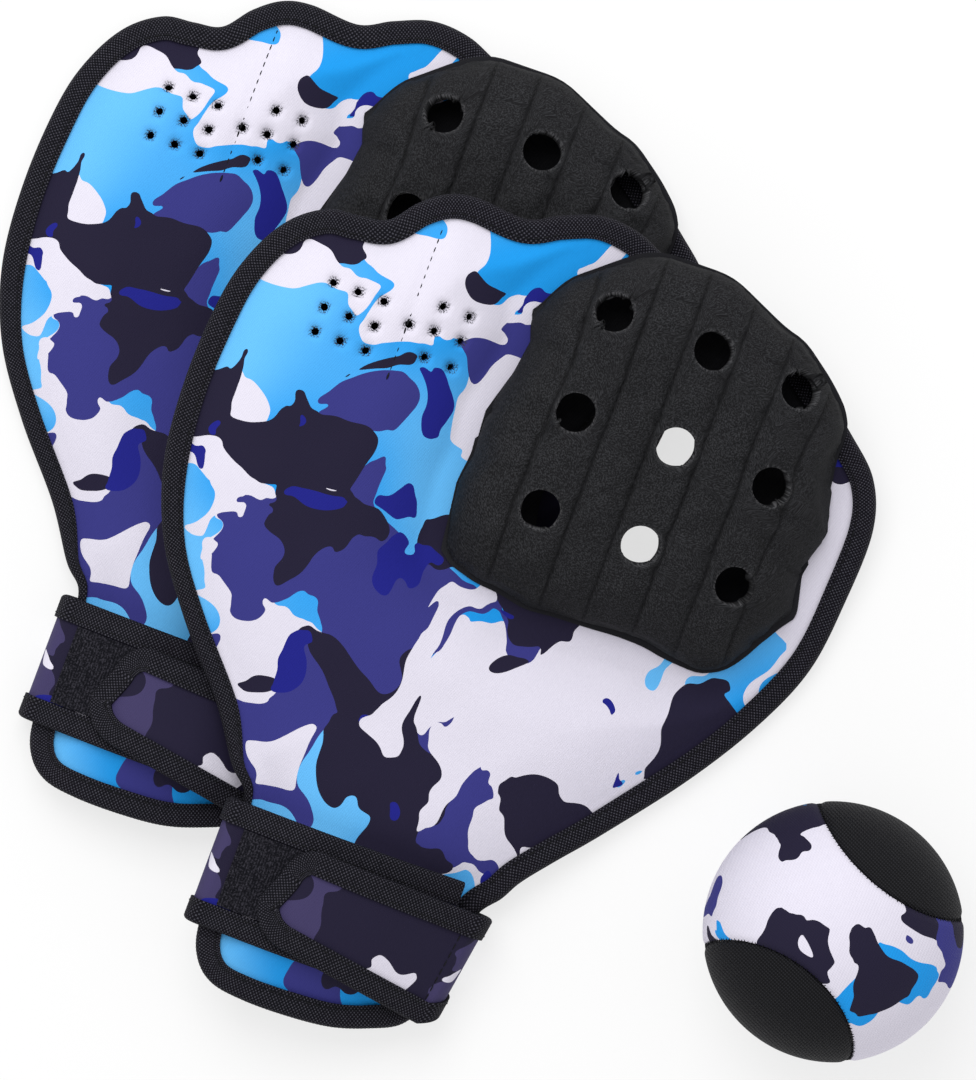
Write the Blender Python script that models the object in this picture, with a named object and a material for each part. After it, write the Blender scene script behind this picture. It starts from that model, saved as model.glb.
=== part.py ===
"""Water ball and mitts set: two identical catch mitts and a covered ball.

Units are metres, +Z is up, and the set lies as it would on a floor. Each mitt lies
palm side down, so its printed back and its domed catching pocket look up. The front
mitt lies over the rear one, and the ball stands beside them.
"""
import math

import bpy
import numpy as np
from mathutils import Vector
from mathutils.geometry import delaunay_2d_cdt

for old_object in list(bpy.data.objects):
    bpy.data.objects.remove(old_object, do_unlink=True)

mm = 0.001

# Mitt body
MITT_WIDTH = 242 * mm
MITT_LENGTH = 298 * mm
PANEL_THICK = 3 * mm
CLEARANCE = 0.3 * mm
BACK_CROWN = 8.5 * mm
CROWN_RUN = 32 * mm
PANEL_MESH = 21 * mm
EDGE_STEP = 17 * mm
VENT_DIAMETER = 2.6 * mm
VENT_SIDES = 6

# Edge tape, folded round the rim of both panels and round each hem
TAPE_THICK = 0.8 * mm
TAPE_COVER = 8.5 * mm
CROWN_START = TAPE_COVER + 1 * mm
TAPE_ROUND = 0.5 * mm
HEM_EASE = 0.2 * mm

# Catching pocket
POCKET_WIDTH = 122.5 * mm
POCKET_LENGTH = 130 * mm
POCKET_HEIGHT = 29 * mm
POCKET_THICK = 3 * mm
POCKET_SEAT = 0.5 * mm
POCKET_OVERLAP = 10 * mm
POCKET_CHANNELS = 7
GROOVE_DEPTH = 1.6 * mm
GROOVE_WIDTH = 5 * mm
HOLE_DIAMETER = 14 * mm
HOLE_SIDES = 10
HOLE_ROWS = 3
HOLE_ROW_PITCH = 36.7 * mm
MOUTH_WIDTH = 62 * mm
MOUTH_LENGTH = 90 * mm
MOUTH_TURN = math.radians(-12)

# Wrist strap
STRAP_THICK = 2 * mm
STRAP_FOLD = 4.4 * mm
CUFF_SLOPE = 40 * mm
WRIST_SLOPE = 45 * mm
WRIST_ARCH = 8 * mm
PATCH_THICK = 1.2 * mm
TAB_CORNER = 10 * mm

# Ball
BALL_DIAMETER = 90 * mm
COVER_THICK = 2.6 * mm
SEAM_GAP = 0.3 * mm
SEAM_SHAPE = 0.714
SEAM_RIBS = 16

# How the set lies
MITT_TURN = math.radians(-20.5)
FRONT_FROM_REAR = np.array((58.5 * mm, -69.7 * mm))
BALL_FROM_REAR = np.array((224.3 * mm, -96.0 * mm))
BALL_TURN = math.radians(6)
BALL_TIP = math.radians(4.7)
LEAN_GAP = 0.7 * mm

# Heights of the layers at the rim of a flat mitt
RIM_BOTTOM = TAPE_THICK + CLEARANCE
RIM_TOP = RIM_BOTTOM + 2 * PANEL_THICK + CLEARANCE
STRAP_HALF = STRAP_THICK / 2 + CLEARANCE + TAPE_THICK
CUFF_RAISE = 2 * STRAP_HALF + CLEARANCE - RIM_BOTTOM


def drawn(points):
    """Points in millimetres on a 242 by 298 mm mitt, from the middle of its cuff, as metres."""
    scale = np.array((MITT_WIDTH / 242, MITT_LENGTH / 298))
    return np.asarray(points, dtype=float) * scale


# The outline runs clockwise seen from above: up the little finger's side, over the
# fingertips, down the thumb's side, round the cuff and along the hem.
FINGER_EDGE = [(-42.5, 7.5), (-49.7, 15), (-62, 33), (-82, 56), (-98, 79), (-107.5, 105), (-110.4, 135),
               (-108.7, 165), (-104, 183), (-96, 197), (-85, 205.4), (-74, 207.2), (-64.3, 209.3),
               (-56.6, 218.4), (-47.8, 225), (-37.5, 227.3), (-20.3, 226.5), (-9, 232), (4, 236.8), (18, 236)]
COVERED_EDGE = [(34, 230), (56, 227), (78, 220), (97, 208)]
THUMB_EDGE = [(112, 197), (124.8, 185), (131, 168), (130.7, 142), (127.5, 115), (117, 90), (101, 64),
              (80, 36.5), (67.4, 21.5), (58.8, 10.7), (54.5, 3)]
CUFF_THUMB_SIDE = [(48.2, -6), (45, -25), (42, -41)]
HEM_EDGE = [(37, -50), (27, -55), (14, -59), (-2, -60.5), (-18, -60.5), (-30, -58.5), (-37.5, -52)]
CUFF_FINGER_SIDE = [(-41, -41), (-41, -20), (-41, -4)]
OUTLINE = FINGER_EDGE + COVERED_EDGE + THUMB_EDGE + CUFF_THUMB_SIDE + HEM_EDGE + CUFF_FINGER_SIDE
TAPES_MEET = len(FINGER_EDGE) + 1
THUMB_TAPE_END = len(FINGER_EDGE) + len(COVERED_EDGE) + len(THUMB_EDGE) - 1
HEM_START = THUMB_TAPE_END + len(CUFF_THUMB_SIDE) + 1
HEM_END = HEM_START + len(HEM_EDGE) - 1

POCKET_MIDDLE = drawn((53.75, 168))
MOUTH_MIDDLE = drawn((50, 150))
# Two bunches of vents lie either side of the sewn dart, with one vent on it.
LITTLE_FINGER_VENTS = [(x, y) for y in (182.5, 173.5, 164.5) for x in (-74, -65, -55.7)]
INDEX_FINGER_VENTS = [(x, y) for y in (188, 179, 169.5) for x in (-36, -26.3)]
VENTS = drawn(LITTLE_FINGER_VENTS + INDEX_FINGER_VENTS + [(-45, 178.2)])


def smoothstep(value):
    """0 below 0, 1 above 1, and an S curve between."""
    value = np.clip(value, 0, 1)
    return value * value * (3 - 2 * value)


def smooth_loop(controls, step):
    """A closed curve through the controls, and the control that each of its points follows."""
    points = []
    owner = []
    for i, here in enumerate(controls):
        before, after, far = (controls[(i + k) % len(controls)] for k in (-1, 1, 2))
        count = max(1, round(float(np.linalg.norm(after - here)) / step))
        for t in np.arange(count) / count:
            points.append(0.5 * (2 * here + (after - before) * t
                                 + (2 * before - 5 * here + 4 * after - far) * t ** 2
                                 + (3 * here - before - 3 * after + far) * t ** 3))
            owner.append(i)
    return np.array(points), np.array(owner)


def inset(loop, distance):
    """A clockwise loop moved inwards by one distance all round."""
    ahead = np.roll(loop, -1, axis=0) - loop
    ahead /= np.linalg.norm(ahead, axis=1)[:, None]
    behind = np.roll(ahead, 1, axis=0)
    inward = np.column_stack((ahead[:, 1] + behind[:, 1], -ahead[:, 0] - behind[:, 0]))
    return loop + inward * (distance / (1 + (ahead * behind).sum(axis=1)))[:, None]


def distance_to(points, path):
    """Distance in plan from each point to an open path."""
    start, end = path[:-1], path[1:]
    along = end - start
    reach = points[:, None] - start
    share = np.clip((reach * along).sum(axis=2) / (along * along).sum(axis=1), 0, 1)
    return np.linalg.norm(reach - share[..., None] * along, axis=2).min(axis=1)


def inside(points, loop):
    """Whether each point lies inside a closed loop."""
    ax, ay = loop[:, 0], loop[:, 1]
    bx, by = np.roll(ax, -1), np.roll(ay, -1)
    x, y = points[:, 0, None], points[:, 1, None]
    level = np.where(by == ay, 1, by - ay)
    crosses = ((ay > y) != (by > y)) & (x < ax + (y - ay) * (bx - ax) / level)
    return crosses.sum(axis=1) % 2 == 1


def ellipse(middle, width, length, turn, sides):
    """A closed ellipse in plan."""
    angle = np.arange(sides) * 2 * math.pi / sides
    x, y = width / 2 * np.cos(angle), length / 2 * np.sin(angle)
    c, s = math.cos(turn), math.sin(turn)
    return middle + np.column_stack((c * x - s * y, s * x + c * y))


edge, edge_owner = smooth_loop(drawn(OUTLINE), EDGE_STEP)
panel_edge = inset(edge, TAPE_THICK + CLEARANCE)


def stretch(first, last):
    """The part of the outline between two of its controls."""
    order = (edge_owner - first) % len(OUTLINE)
    wanted = order <= (last - first) % len(OUTLINE)
    last_points = np.flatnonzero(order == (last - first) % len(OUTLINE))
    wanted[last_points[1:]] = False
    chosen = np.flatnonzero(wanted)
    return chosen[np.argsort(order[chosen], kind="stable")]


def pocket_outline(across, margin=0.0):
    """The pocket's lower and upper edge, for places across it from 0 to 1."""
    half_width = POCKET_WIDTH / 2 - margin
    half_length = POCKET_LENGTH / 2 - margin
    x = (2 * across - 1) * half_width
    from_left, from_right = x + half_width, half_width - x

    def corner(distance, run, drop):
        part = np.clip(distance / run, 0, 1)
        return drop * (1 - np.sqrt(1 - (1 - part) ** 2))

    top = half_length - corner(from_left, 32 * mm, 30 * mm) - corner(from_right, 34 * mm, 40 * mm)
    bottom = corner(from_left, 9 * mm, 6 * mm) + corner(from_right, 26 * mm, 24 * mm) - half_length
    return POCKET_MIDDLE[0] + x, POCKET_MIDDLE[1] + bottom, POCKET_MIDDLE[1] + top


def pocket_loop(margin, steps=12):
    """The pocket's outline as one closed clockwise loop."""
    across = (1 - np.cos(np.linspace(0, math.pi, steps + 1))) / 2
    x, bottom, top = pocket_outline(across, margin)
    upper = np.column_stack((x, top))
    lower = np.column_stack((x, bottom))[::-1]
    straight = np.linspace(0, 1, 5)[1:-1]
    right = np.column_stack((np.full(3, x[-1]), top[-1] + (bottom[-1] - top[-1]) * straight))
    left = np.column_stack((np.full(3, x[0]), bottom[0] + (top[0] - bottom[0]) * straight))
    return np.concatenate((upper, right, lower, left))


pocket_foot = pocket_loop(0.0, 20)


def cuff_raise(y):
    """How far the cuff stands off the floor on the strap that passes under it."""
    return CUFF_RAISE * smoothstep(1 - (y - drawn((0, 8))[1]) / CUFF_SLOPE)


def crown(points):
    """How far the back panel arches over the hand, between its rim and the pocket."""
    from_rim = distance_to(points, np.vstack((edge, edge[:1])))
    from_pocket = distance_to(points, np.vstack((pocket_foot, pocket_foot[:1])))
    from_pocket[inside(points, pocket_foot)] = 0
    away = np.minimum(from_rim, from_pocket)
    return BACK_CROWN * (1 - (1 - np.clip((away - CROWN_START) / CROWN_RUN, 0, 1)) ** 2)


def palm_bottom(points):
    """The palm's underside: flat on the floor, and raised at the taped rim and the cuff."""
    away = distance_to(points, np.vstack((edge, edge[:1])))
    rim = RIM_BOTTOM * (1 - smoothstep((away - TAPE_COVER) / (12 * mm)))
    raised = cuff_raise(points[:, 1])
    return np.maximum(rim, RIM_BOTTOM * raised / CUFF_RAISE) + raised


def wrist_gap(points):
    """How far the panels part at the wrist: room for the tapes on their hems, and an arch."""
    across = points[:, 0] / drawn((45, 0))[0]
    from_tape = drawn((0, 6))[1] - points[:, 1]
    room = 2 * (HEM_EASE + CLEARANCE + TAPE_THICK) + CLEARANCE
    return (room + WRIST_ARCH * np.maximum(1 - across ** 2, 0)) * np.clip(from_tape / WRIST_SLOPE, 0, 1)


def back_top(points):
    """The printed face of the back panel."""
    return RIM_TOP + cuff_raise(points[:, 1]) + wrist_gap(points) + crown(points)


def grid_points(loop, holes, spacing, keep_off):
    """Staggered points that fill a loop evenly and stay off its edges."""
    low, high = loop.min(axis=0), loop.max(axis=0)
    rows = np.arange(low[1], high[1], spacing * 0.87)
    columns = np.arange(low[0], high[0], spacing)
    points = np.array([(x + (i % 2) * spacing / 2, y) for i, y in enumerate(rows) for x in columns])
    points = points[inside(points, loop)]
    for ring in [loop, *holes]:
        closed = np.vstack((ring, ring[:1]))
        points = points[distance_to(points, closed) > keep_off]
    for hole in holes:
        points = points[~inside(points, hole)]
    return points


def fill(loop, holes, extra):
    """Triangles that fill a loop around its holes and through the extra points."""
    rings = [loop, *holes]
    points = np.vstack((*rings, extra)) if len(extra) else np.vstack(rings)
    edges = []
    first = 0
    for ring in rings:
        edges += [(first + i, first + (i + 1) % len(ring)) for i in range(len(ring))]
        first += len(ring)
    found = delaunay_2d_cdt([Vector(p) for p in points], edges, [], 0, 1e-7)
    flat = np.array([tuple(p) for p in found[0]])
    triangles = np.array([tuple(face) for face in found[2]])
    middles = flat[triangles].mean(axis=1)
    keep = inside(middles, loop)
    for hole in holes:
        keep &= ~inside(middles, hole)
    triangles = triangles[keep]
    a, b, c = (flat[triangles[:, k]] for k in range(3))
    clockwise = np.cross(b - a, c - a) < 0
    triangles[clockwise] = triangles[clockwise][:, ::-1]
    return flat, triangles


def close_sheet(flat, triangles, top, bottom):
    """A closed solid between two heights over one triangulated plan."""
    count = len(flat)
    vertices = np.vstack((np.column_stack((flat, top)), np.column_stack((flat, bottom))))
    faces = [tuple(t) for t in triangles] + [tuple(t[::-1] + count) for t in triangles]
    sides = {}
    for a, b, c in triangles:
        for pair in ((a, b), (b, c), (c, a)):
            sides[pair] = sides.get(pair, 0) + 1
    faces += [(b, a, a + count, b + count) for a, b in sides if (b, a) not in sides]
    return vertices, faces


def sweep(rings):
    """A closed tube through rings of points, each ring running the same way round."""
    count, size = rings.shape[:2]
    vertices = rings.reshape(-1, 3)
    faces = []
    for i in range(count - 1):
        for k in range(size):
            a, b = i * size + k, i * size + (k + 1) % size
            faces.append((a, b, b + size, a + size))
    faces.append(tuple(range(size))[::-1])
    faces.append(tuple(range((count - 1) * size, count * size)))
    return vertices, faces


def turn_out(vertices, faces):
    """Turns every face round if the solid came out inside out."""
    volume = 0.0
    for face in faces:
        for k in range(1, len(face) - 1):
            a, b, c = vertices[face[0]], vertices[face[k]], vertices[face[k + 1]]
            volume += float(np.dot(a, np.cross(b, c)))
    return faces if volume > 0 else [face[::-1] for face in faces]


def tape_section(filling, rounding):
    """A tape's U-shaped section: distance in from the fold, and height over its middle."""
    free = filling / 2 + CLEARANCE
    full = free + TAPE_THICK
    outside = [(0, full), (0, -full)]
    if rounding:
        outside = [(rounding, full), (0, full - rounding), (0, rounding - full), (rounding, -full)]
    return [(TAPE_COVER, full), *outside, (TAPE_COVER, -full), (TAPE_COVER, -free), (TAPE_THICK, -free),
            (TAPE_THICK, free), (TAPE_COVER, free)]


def rim_tape(indices, level, filling, rounding=0.0, start_trim=0.0):
    """Tape folded round a stretch of the outline, with its legs on the surface inside it."""
    plan = edge[indices].copy()
    inward = (inset(edge, 1 * mm) - edge)[indices] / mm
    step = plan[1] - plan[0]
    plan[0] += step / np.linalg.norm(step) * start_trim
    rings = []
    for across, up in tape_section(filling, rounding):
        places = plan + across * inward
        rings.append(np.column_stack((places, level(places) + up)))
    return sweep(np.stack(rings, axis=1))


def strap_tape(path, inward, up):
    """Tape folded round an edge of the strap, along a course with inward and outward directions."""
    return sweep(np.stack([path + a * inward + b * up for a, b in tape_section(STRAP_THICK, 0.0)], axis=1))


def rim_middle(points):
    """Half way up the two panels at the rim, over the raised cuff."""
    return (RIM_BOTTOM + RIM_TOP) / 2 + cuff_raise(points[:, 1])


def upward(count):
    """One upward normal for each point."""
    return np.tile((0.0, 0.0, 1.0), (count, 1))


def back_panel():
    """Printed neoprene over the back of the hand, open under the pocket, with vents."""
    opening = pocket_loop(POCKET_OVERLAP)
    vents = [ellipse(middle, VENT_DIAMETER, VENT_DIAMETER, 0.0, VENT_SIDES) for middle in VENTS]
    crease = inset(edge, CROWN_START)
    around_pocket = inset(pocket_loop(0.0), -CROWN_START + 1 * mm)
    extra = grid_points(crease, [opening, *vents, around_pocket], PANEL_MESH, PANEL_MESH / 3)
    around_pocket = around_pocket[inside(around_pocket, crease)]
    flat, triangles = fill(panel_edge, [opening, *vents], np.vstack((extra, crease, around_pocket)))
    top = back_top(flat)
    return close_sheet(flat, triangles, top, top - PANEL_THICK)


def palm_panel():
    """Plain neoprene under the palm, with the oval mouth of the pocket."""
    mouth = ellipse(MOUTH_MIDDLE, MOUTH_WIDTH, MOUTH_LENGTH, MOUTH_TURN, 24)
    crease = inset(edge, CROWN_START)
    extra = grid_points(crease, [mouth], PANEL_MESH, PANEL_MESH / 3)
    flat, triangles = fill(panel_edge, [mouth], np.vstack((extra, crease)))
    bottom = palm_bottom(flat)
    return close_sheet(flat, triangles, bottom + PANEL_THICK, bottom)


def pocket_surface(across, along, margin, height, groove):
    """One face of the pocket's dome, from its plan places, each 0 to 1."""
    x, bottom, top = pocket_outline(across, margin)
    y = bottom[:, None] + along[None] * (top - bottom)[:, None]
    x = np.repeat(x[:, None], len(along), axis=1)
    rise = np.sqrt(1 - np.abs(2 * across - 1) ** 4)[:, None] * np.sqrt(1 - np.abs(2 * along - 1) ** 4)[None]
    seat = RIM_TOP + POCKET_SEAT + (CLEARANCE + TAPE_THICK) * smoothstep((y - drawn((0, 160))[1]) / (18 * mm))
    z = seat + height * rise - groove[:, None] * rise
    return np.stack((x, y, z), axis=-1)


def pocket():
    """The catching pocket: a sewn, channelled dome, cut by its holes afterwards."""
    channel = POCKET_WIDTH / POCKET_CHANNELS
    wall = np.array((0.0, 1.5, 6.5)) * mm
    seams = np.arange(1, POCKET_CHANNELS) * channel
    shoulders = np.concatenate((seams - GROOVE_WIDTH / 2, seams + GROOVE_WIDTH / 2))
    places = np.unique(np.concatenate((wall, POCKET_WIDTH - wall, seams, shoulders)))
    across = places / POCKET_WIDTH
    groove = np.where(np.isin(places, seams), GROOVE_DEPTH, 0.0)
    along = np.array((0, 0.015, 0.07, 0.22, 0.5, 0.78, 0.93, 0.985, 1.0))
    outer = pocket_surface(across, along, 0.0, POCKET_HEIGHT, groove)
    inner = pocket_surface(across, along, POCKET_THICK, POCKET_HEIGHT - POCKET_THICK, groove * 0)
    columns, rows = len(across), len(along)
    vertices = np.vstack((outer.reshape(-1, 3), inner.reshape(-1, 3)))
    faces = []
    for i in range(columns - 1):
        for j in range(rows - 1):
            a = i * rows + j
            quad = (a, a + rows, a + rows + 1, a + 1)
            faces.append(quad)
            faces.append(tuple(columns * rows + k for k in quad[::-1]))
    border = [i * rows for i in range(columns)] + [(columns - 1) * rows + j for j in range(1, rows)]
    border += [i * rows + rows - 1 for i in range(columns - 2, -1, -1)] + list(range(rows - 2, 0, -1))
    for a, b in zip(border, border[1:] + border[:1]):
        faces.append((b, a, a + columns * rows, b + columns * rows))
    return vertices, faces


def hole_middles():
    """The pocket's round holes: one column in every second channel."""
    channel = POCKET_WIDTH / POCKET_CHANNELS
    left = POCKET_MIDDLE[0] - POCKET_WIDTH / 2
    columns = [left + (k + 0.5) * channel for k in range(1, POCKET_CHANNELS - 1, 2)]
    middle = POCKET_MIDDLE[1] + 3 * mm
    rows = [middle + (j - (HOLE_ROWS - 1) / 2) * HOLE_ROW_PITCH for j in range(HOLE_ROWS)]
    return [(x, y) for x in columns for y in rows]


# The strap's edges in plan, on the fold lines of its tapes. The base half comes round
# the finger side and carries the loop patch, and the tab half comes round the thumb
# side and lies over it.
BASE_TOP = drawn((0, 4.5))[1]
BASE_BOTTOM = drawn((0, -41))[1]
BASE_END = drawn((35, 0))[0]
PATCH_START = drawn((-37.5, 0))[0]
PATCH_END = drawn((16, 0))[0]
TAB_TIP = drawn((-23.5, 0))[0]
TAB_TOP_AT_TIP = drawn((0, -1.5))[1]
TAB_TOP_AT_FOLD = drawn((0, -4.5))[1]
TAB_BOTTOM_AT_TIP = drawn((0, -36.5))[1]
TAB_BOTTOM_AT_FOLD = drawn((0, -47.5))[1]
FOLD_LEAN = 6 * mm
STRAP_EASE = 0.8 * mm
TAB_EASE = 0.7 * mm
STRAP_MEET = drawn((4, 0))[0]
STRAP_SPANS = 6
FOLD_POINTS = 5
TIP_POINTS = 3
PATCH_LEVEL = STRAP_THICK / 2 + CLEARANCE + PATCH_THICK
TAB_LIFT = STRAP_HALF + max(STRAP_HALF, PATCH_LEVEL) + TAB_EASE


def cuff_side(sign):
    """Where the panels end at one side of the cuff, under the fold of the strap.

    The finger side is widest at the strap's upper edge. The thumb side slants, and the
    fold slants with it about the strap's middle.
    """
    y = BASE_TOP if sign < 0 else (BASE_TOP + BASE_BOTTOM) / 2
    side = panel_edge[(panel_edge[:, 0] * sign > 0) & (panel_edge[:, 1] < drawn((0, 20))[1])]
    side = side[np.argsort(side[:, 1])]
    return float(np.interp(y, side[:, 1], side[:, 0]))


def pulled_tight(places, level):
    """The levels lifted to the lowest course over them that has no hollow in it."""
    taut = []
    for i in range(len(places)):
        while len(taut) > 1 and (level[i] - level[taut[-1]]) * (taut[-1] - taut[-2]) >= (
                level[taut[-1]] - level[taut[-2]]) * (i - taut[-1]):
            taut.pop()
        taut.append(i)
    return np.interp(places, places[taut], level[taut])


strap_bends = np.linspace(cuff_side(-1), cuff_side(1), STRAP_SPANS + 1)
back_under_strap = np.max([back_top(np.column_stack((strap_bends, np.full(len(strap_bends), y))))
                           for y in np.linspace(BASE_BOTTOM, BASE_TOP, 7)], axis=0)
strap_levels = pulled_tight(strap_bends, back_under_strap) + STRAP_EASE + STRAP_HALF


def strap_middle(x):
    """Level of the strap's middle over the back, at places across the mitt."""
    return np.interp(x, strap_bends, strap_levels)


def strap_places(first, last):
    """Places across the mitt from the first to the last, with the strap's bends between them."""
    low, high = sorted((first, last))
    between = strap_bends[(strap_bends > low + 1 * mm) & (strap_bends < high - 1 * mm)]
    return np.concatenate(([first], between if first < last else between[::-1], [last]))


def strap_course(sign, end_x, lift):
    """Half of the strap across the mitt: under the palm, round one side, over the back.

    Gives the places across the mitt, the levels, the outward normals, and how far each
    place has come round the fold, from 0 under the palm to 1 over the back.
    """
    side_x = cuff_side(sign)
    under = np.array((STRAP_MEET + sign * CLEARANCE / 2, side_x - sign * STRAP_FOLD))
    angle = np.linspace(-math.pi / 2, math.pi / 2, FOLD_POINTS)
    over = strap_places(side_x, end_x)[1:]
    low, high = STRAP_HALF, float(strap_middle(side_x)) + lift
    x = np.concatenate((under, side_x + sign * STRAP_FOLD * np.cos(angle), over))
    z = np.concatenate((np.full(len(under), low), (low + high) / 2 + (high - low) / 2 * np.sin(angle),
                        strap_middle(over) + lift))
    facing = np.concatenate((np.full(len(under), angle[0]), angle, np.full(len(over), angle[-1])))
    normals = np.column_stack((sign * np.cos(facing), np.zeros(len(x)), np.sin(facing)))
    turned = np.concatenate((np.zeros(len(under)), np.linspace(0, 1, FOLD_POINTS), np.ones(len(over))))
    return x, z, normals, turned


def unit(vectors):
    """The same directions at length one."""
    return vectors / np.linalg.norm(vectors, axis=1)[:, None]


def trimmed(upper, lower, trim):
    """Two edges moved towards each other by one distance."""
    across = unit(lower - upper) * trim
    return upper + across, lower - across


def band(upper, lower, normals, low, high):
    """A flat band between two edges, from one level to another along its normals."""
    rings = [upper + normals * high, lower + normals * high, lower + normals * low, upper + normals * low]
    return sweep(np.stack(rings, axis=1))


def base_edges():
    """The upper and lower edge of the base half, and its normals."""
    x, z, normals, _ = strap_course(-1, BASE_END, 0.0)
    upper = np.column_stack((x, np.full(len(x), BASE_TOP), z))
    lower = np.column_stack((x, np.full(len(x), BASE_BOTTOM), z))
    return upper, lower, normals


def tab_span(x):
    """The tab's upper and lower edge along the mitt, at places across it."""
    to_fold = np.clip((x - TAB_TIP) / (cuff_side(1) - TAB_TIP), 0, 1)
    return (TAB_TOP_AT_TIP + (TAB_TOP_AT_FOLD - TAB_TOP_AT_TIP) * to_fold,
            TAB_BOTTOM_AT_TIP + (TAB_BOTTOM_AT_FOLD - TAB_BOTTOM_AT_TIP) * to_fold)


def tab_edges():
    """The upper and lower edge of the tab half, drawn together at its rounded tip."""
    x, z, normals, turned = strap_course(1, TAB_TIP + TAB_CORNER, TAB_LIFT)
    tip_angle = np.arange(1, TIP_POINTS + 1) * math.pi / 2 / (TIP_POINTS + 0.6)
    tip_x = TAB_TIP + TAB_CORNER * (1 - np.sin(tip_angle))
    narrowing = np.concatenate((np.zeros(len(x)), TAB_CORNER * (1 - np.cos(tip_angle))))
    x = np.concatenate((x, tip_x))
    z = np.concatenate((z, strap_middle(tip_x) + TAB_LIFT))
    slope = (strap_middle(tip_x) - strap_middle(tip_x - 1 * mm)) / mm
    tip_normals = np.column_stack((-slope, np.zeros(len(slope)), np.ones(len(slope))))
    normals = np.vstack((normals, unit(tip_normals)))
    slant = FOLD_LEAN / 2 * smoothstep((x - STRAP_MEET) / (cuff_side(1) - STRAP_MEET))
    turned = np.concatenate((turned, np.ones(len(tip_x))))
    upper_y, lower_y = tab_span(x)
    upper_y[0] = BASE_TOP
    upper_y[1] = TAB_TOP_AT_FOLD
    lower_y = BASE_BOTTOM + (lower_y - BASE_BOTTOM) * turned
    upper = np.column_stack((x + slant, upper_y - narrowing, z))
    lower = np.column_stack((x - slant, lower_y + narrowing, z))
    return upper, lower, normals


def base_strap():
    upper, lower, normals = base_edges()
    return band(*trimmed(upper, lower, TAPE_THICK + CLEARANCE), normals, -STRAP_THICK / 2, STRAP_THICK / 2)


def base_upper_tape():
    upper, lower, normals = base_edges()
    return strap_tape(upper, unit(lower - upper), normals)


def base_lower_tape():
    upper, lower, normals = base_edges()
    return strap_tape(lower, unit(upper - lower), normals)


def tab_inward(upper, lower, normals):
    """Directions into the tab: straight across it, and square to the edge round its tip."""
    path = np.vstack((lower, upper[::-1]))
    inward = np.vstack((unit(upper - lower), unit(lower - upper)[::-1]))
    round_tip = slice(len(lower) - TIP_POINTS, len(lower) + TIP_POINTS)
    square = unit(np.cross(np.gradient(path, axis=0), np.vstack((normals, normals[::-1]))))
    inward[round_tip] = square[round_tip]
    return inward[len(lower):][::-1], inward[:len(lower)]


def tab_strap():
    upper, lower, normals = tab_edges()
    upper_in, lower_in = tab_inward(upper, lower, normals)
    trim = TAPE_THICK + CLEARANCE
    return band(upper + upper_in * trim, lower + lower_in * trim, normals, -STRAP_THICK / 2, STRAP_THICK / 2)


def tab_tape():
    """One tape along the tab's lower edge, round its tip and back along its upper edge."""
    upper, lower, normals = tab_edges()
    upper_in, lower_in = tab_inward(upper, lower, normals)
    path = np.vstack((lower, upper[::-1]))
    return strap_tape(path, np.vstack((lower_in, upper_in[::-1])), np.vstack((normals, normals[::-1])))


def loop_patch():
    """The fuzzy half of the closure, on the base between its tapes."""
    x = strap_places(PATCH_START, PATCH_END)
    z = strap_middle(x)
    upper = np.column_stack((x, np.full(len(x), BASE_TOP), z))
    lower = np.column_stack((x, np.full(len(x), BASE_BOTTOM), z))
    low = STRAP_THICK / 2 + CLEARANCE
    return band(*trimmed(upper, lower, TAPE_COVER + CLEARANCE), upward(len(x)), low, low + PATCH_THICK)


def hook_patch():
    """The hooked half of the closure, under the tab between its tapes."""
    x = strap_places(TAB_TIP + TAPE_COVER + 5 * mm, PATCH_END)
    z = strap_middle(x) + TAB_LIFT
    upper_y, lower_y = tab_span(x)
    upper = np.column_stack((x, upper_y, z))
    lower = np.column_stack((x, lower_y, z))
    high = -STRAP_THICK / 2 - CLEARANCE
    return band(*trimmed(upper, lower, TAPE_COVER + CLEARANCE), upward(len(x)), high - TAPE_THICK, high)


def finger_binding():
    """Tape from the cuff up the little finger's side and over the fingertips."""
    return rim_tape(stretch(0, TAPES_MEET), rim_middle, RIM_TOP - RIM_BOTTOM, TAPE_ROUND)


def thumb_binding():
    """Tape from under the pocket down the thumb's side to a loose end at the strap."""
    return rim_tape(stretch(TAPES_MEET, THUMB_TAPE_END), rim_middle, RIM_TOP - RIM_BOTTOM, TAPE_ROUND, CLEARANCE)


def back_hem_binding():
    """Tape round the back panel's edge at the wrist."""
    filling = PANEL_THICK + 2 * HEM_EASE
    return rim_tape(stretch(HEM_START, HEM_END), lambda points: back_top(points) - PANEL_THICK / 2, filling)


def palm_hem_binding():
    """Tape round the palm panel's edge at the wrist."""
    filling = PANEL_THICK + 2 * HEM_EASE
    return rim_tape(stretch(HEM_START, HEM_END), lambda points: palm_bottom(points) + PANEL_THICK / 2, filling)


def ball_seam(t):
    """The closed seam of a two-piece ball cover, on a unit ball."""
    a, b = SEAM_SHAPE, 1 - SEAM_SHAPE
    return np.column_stack((a * np.cos(t) + b * np.cos(3 * t), a * np.sin(t) - b * np.sin(3 * t),
                            2 * math.sqrt(a * b) * np.sin(2 * t)))


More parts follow.
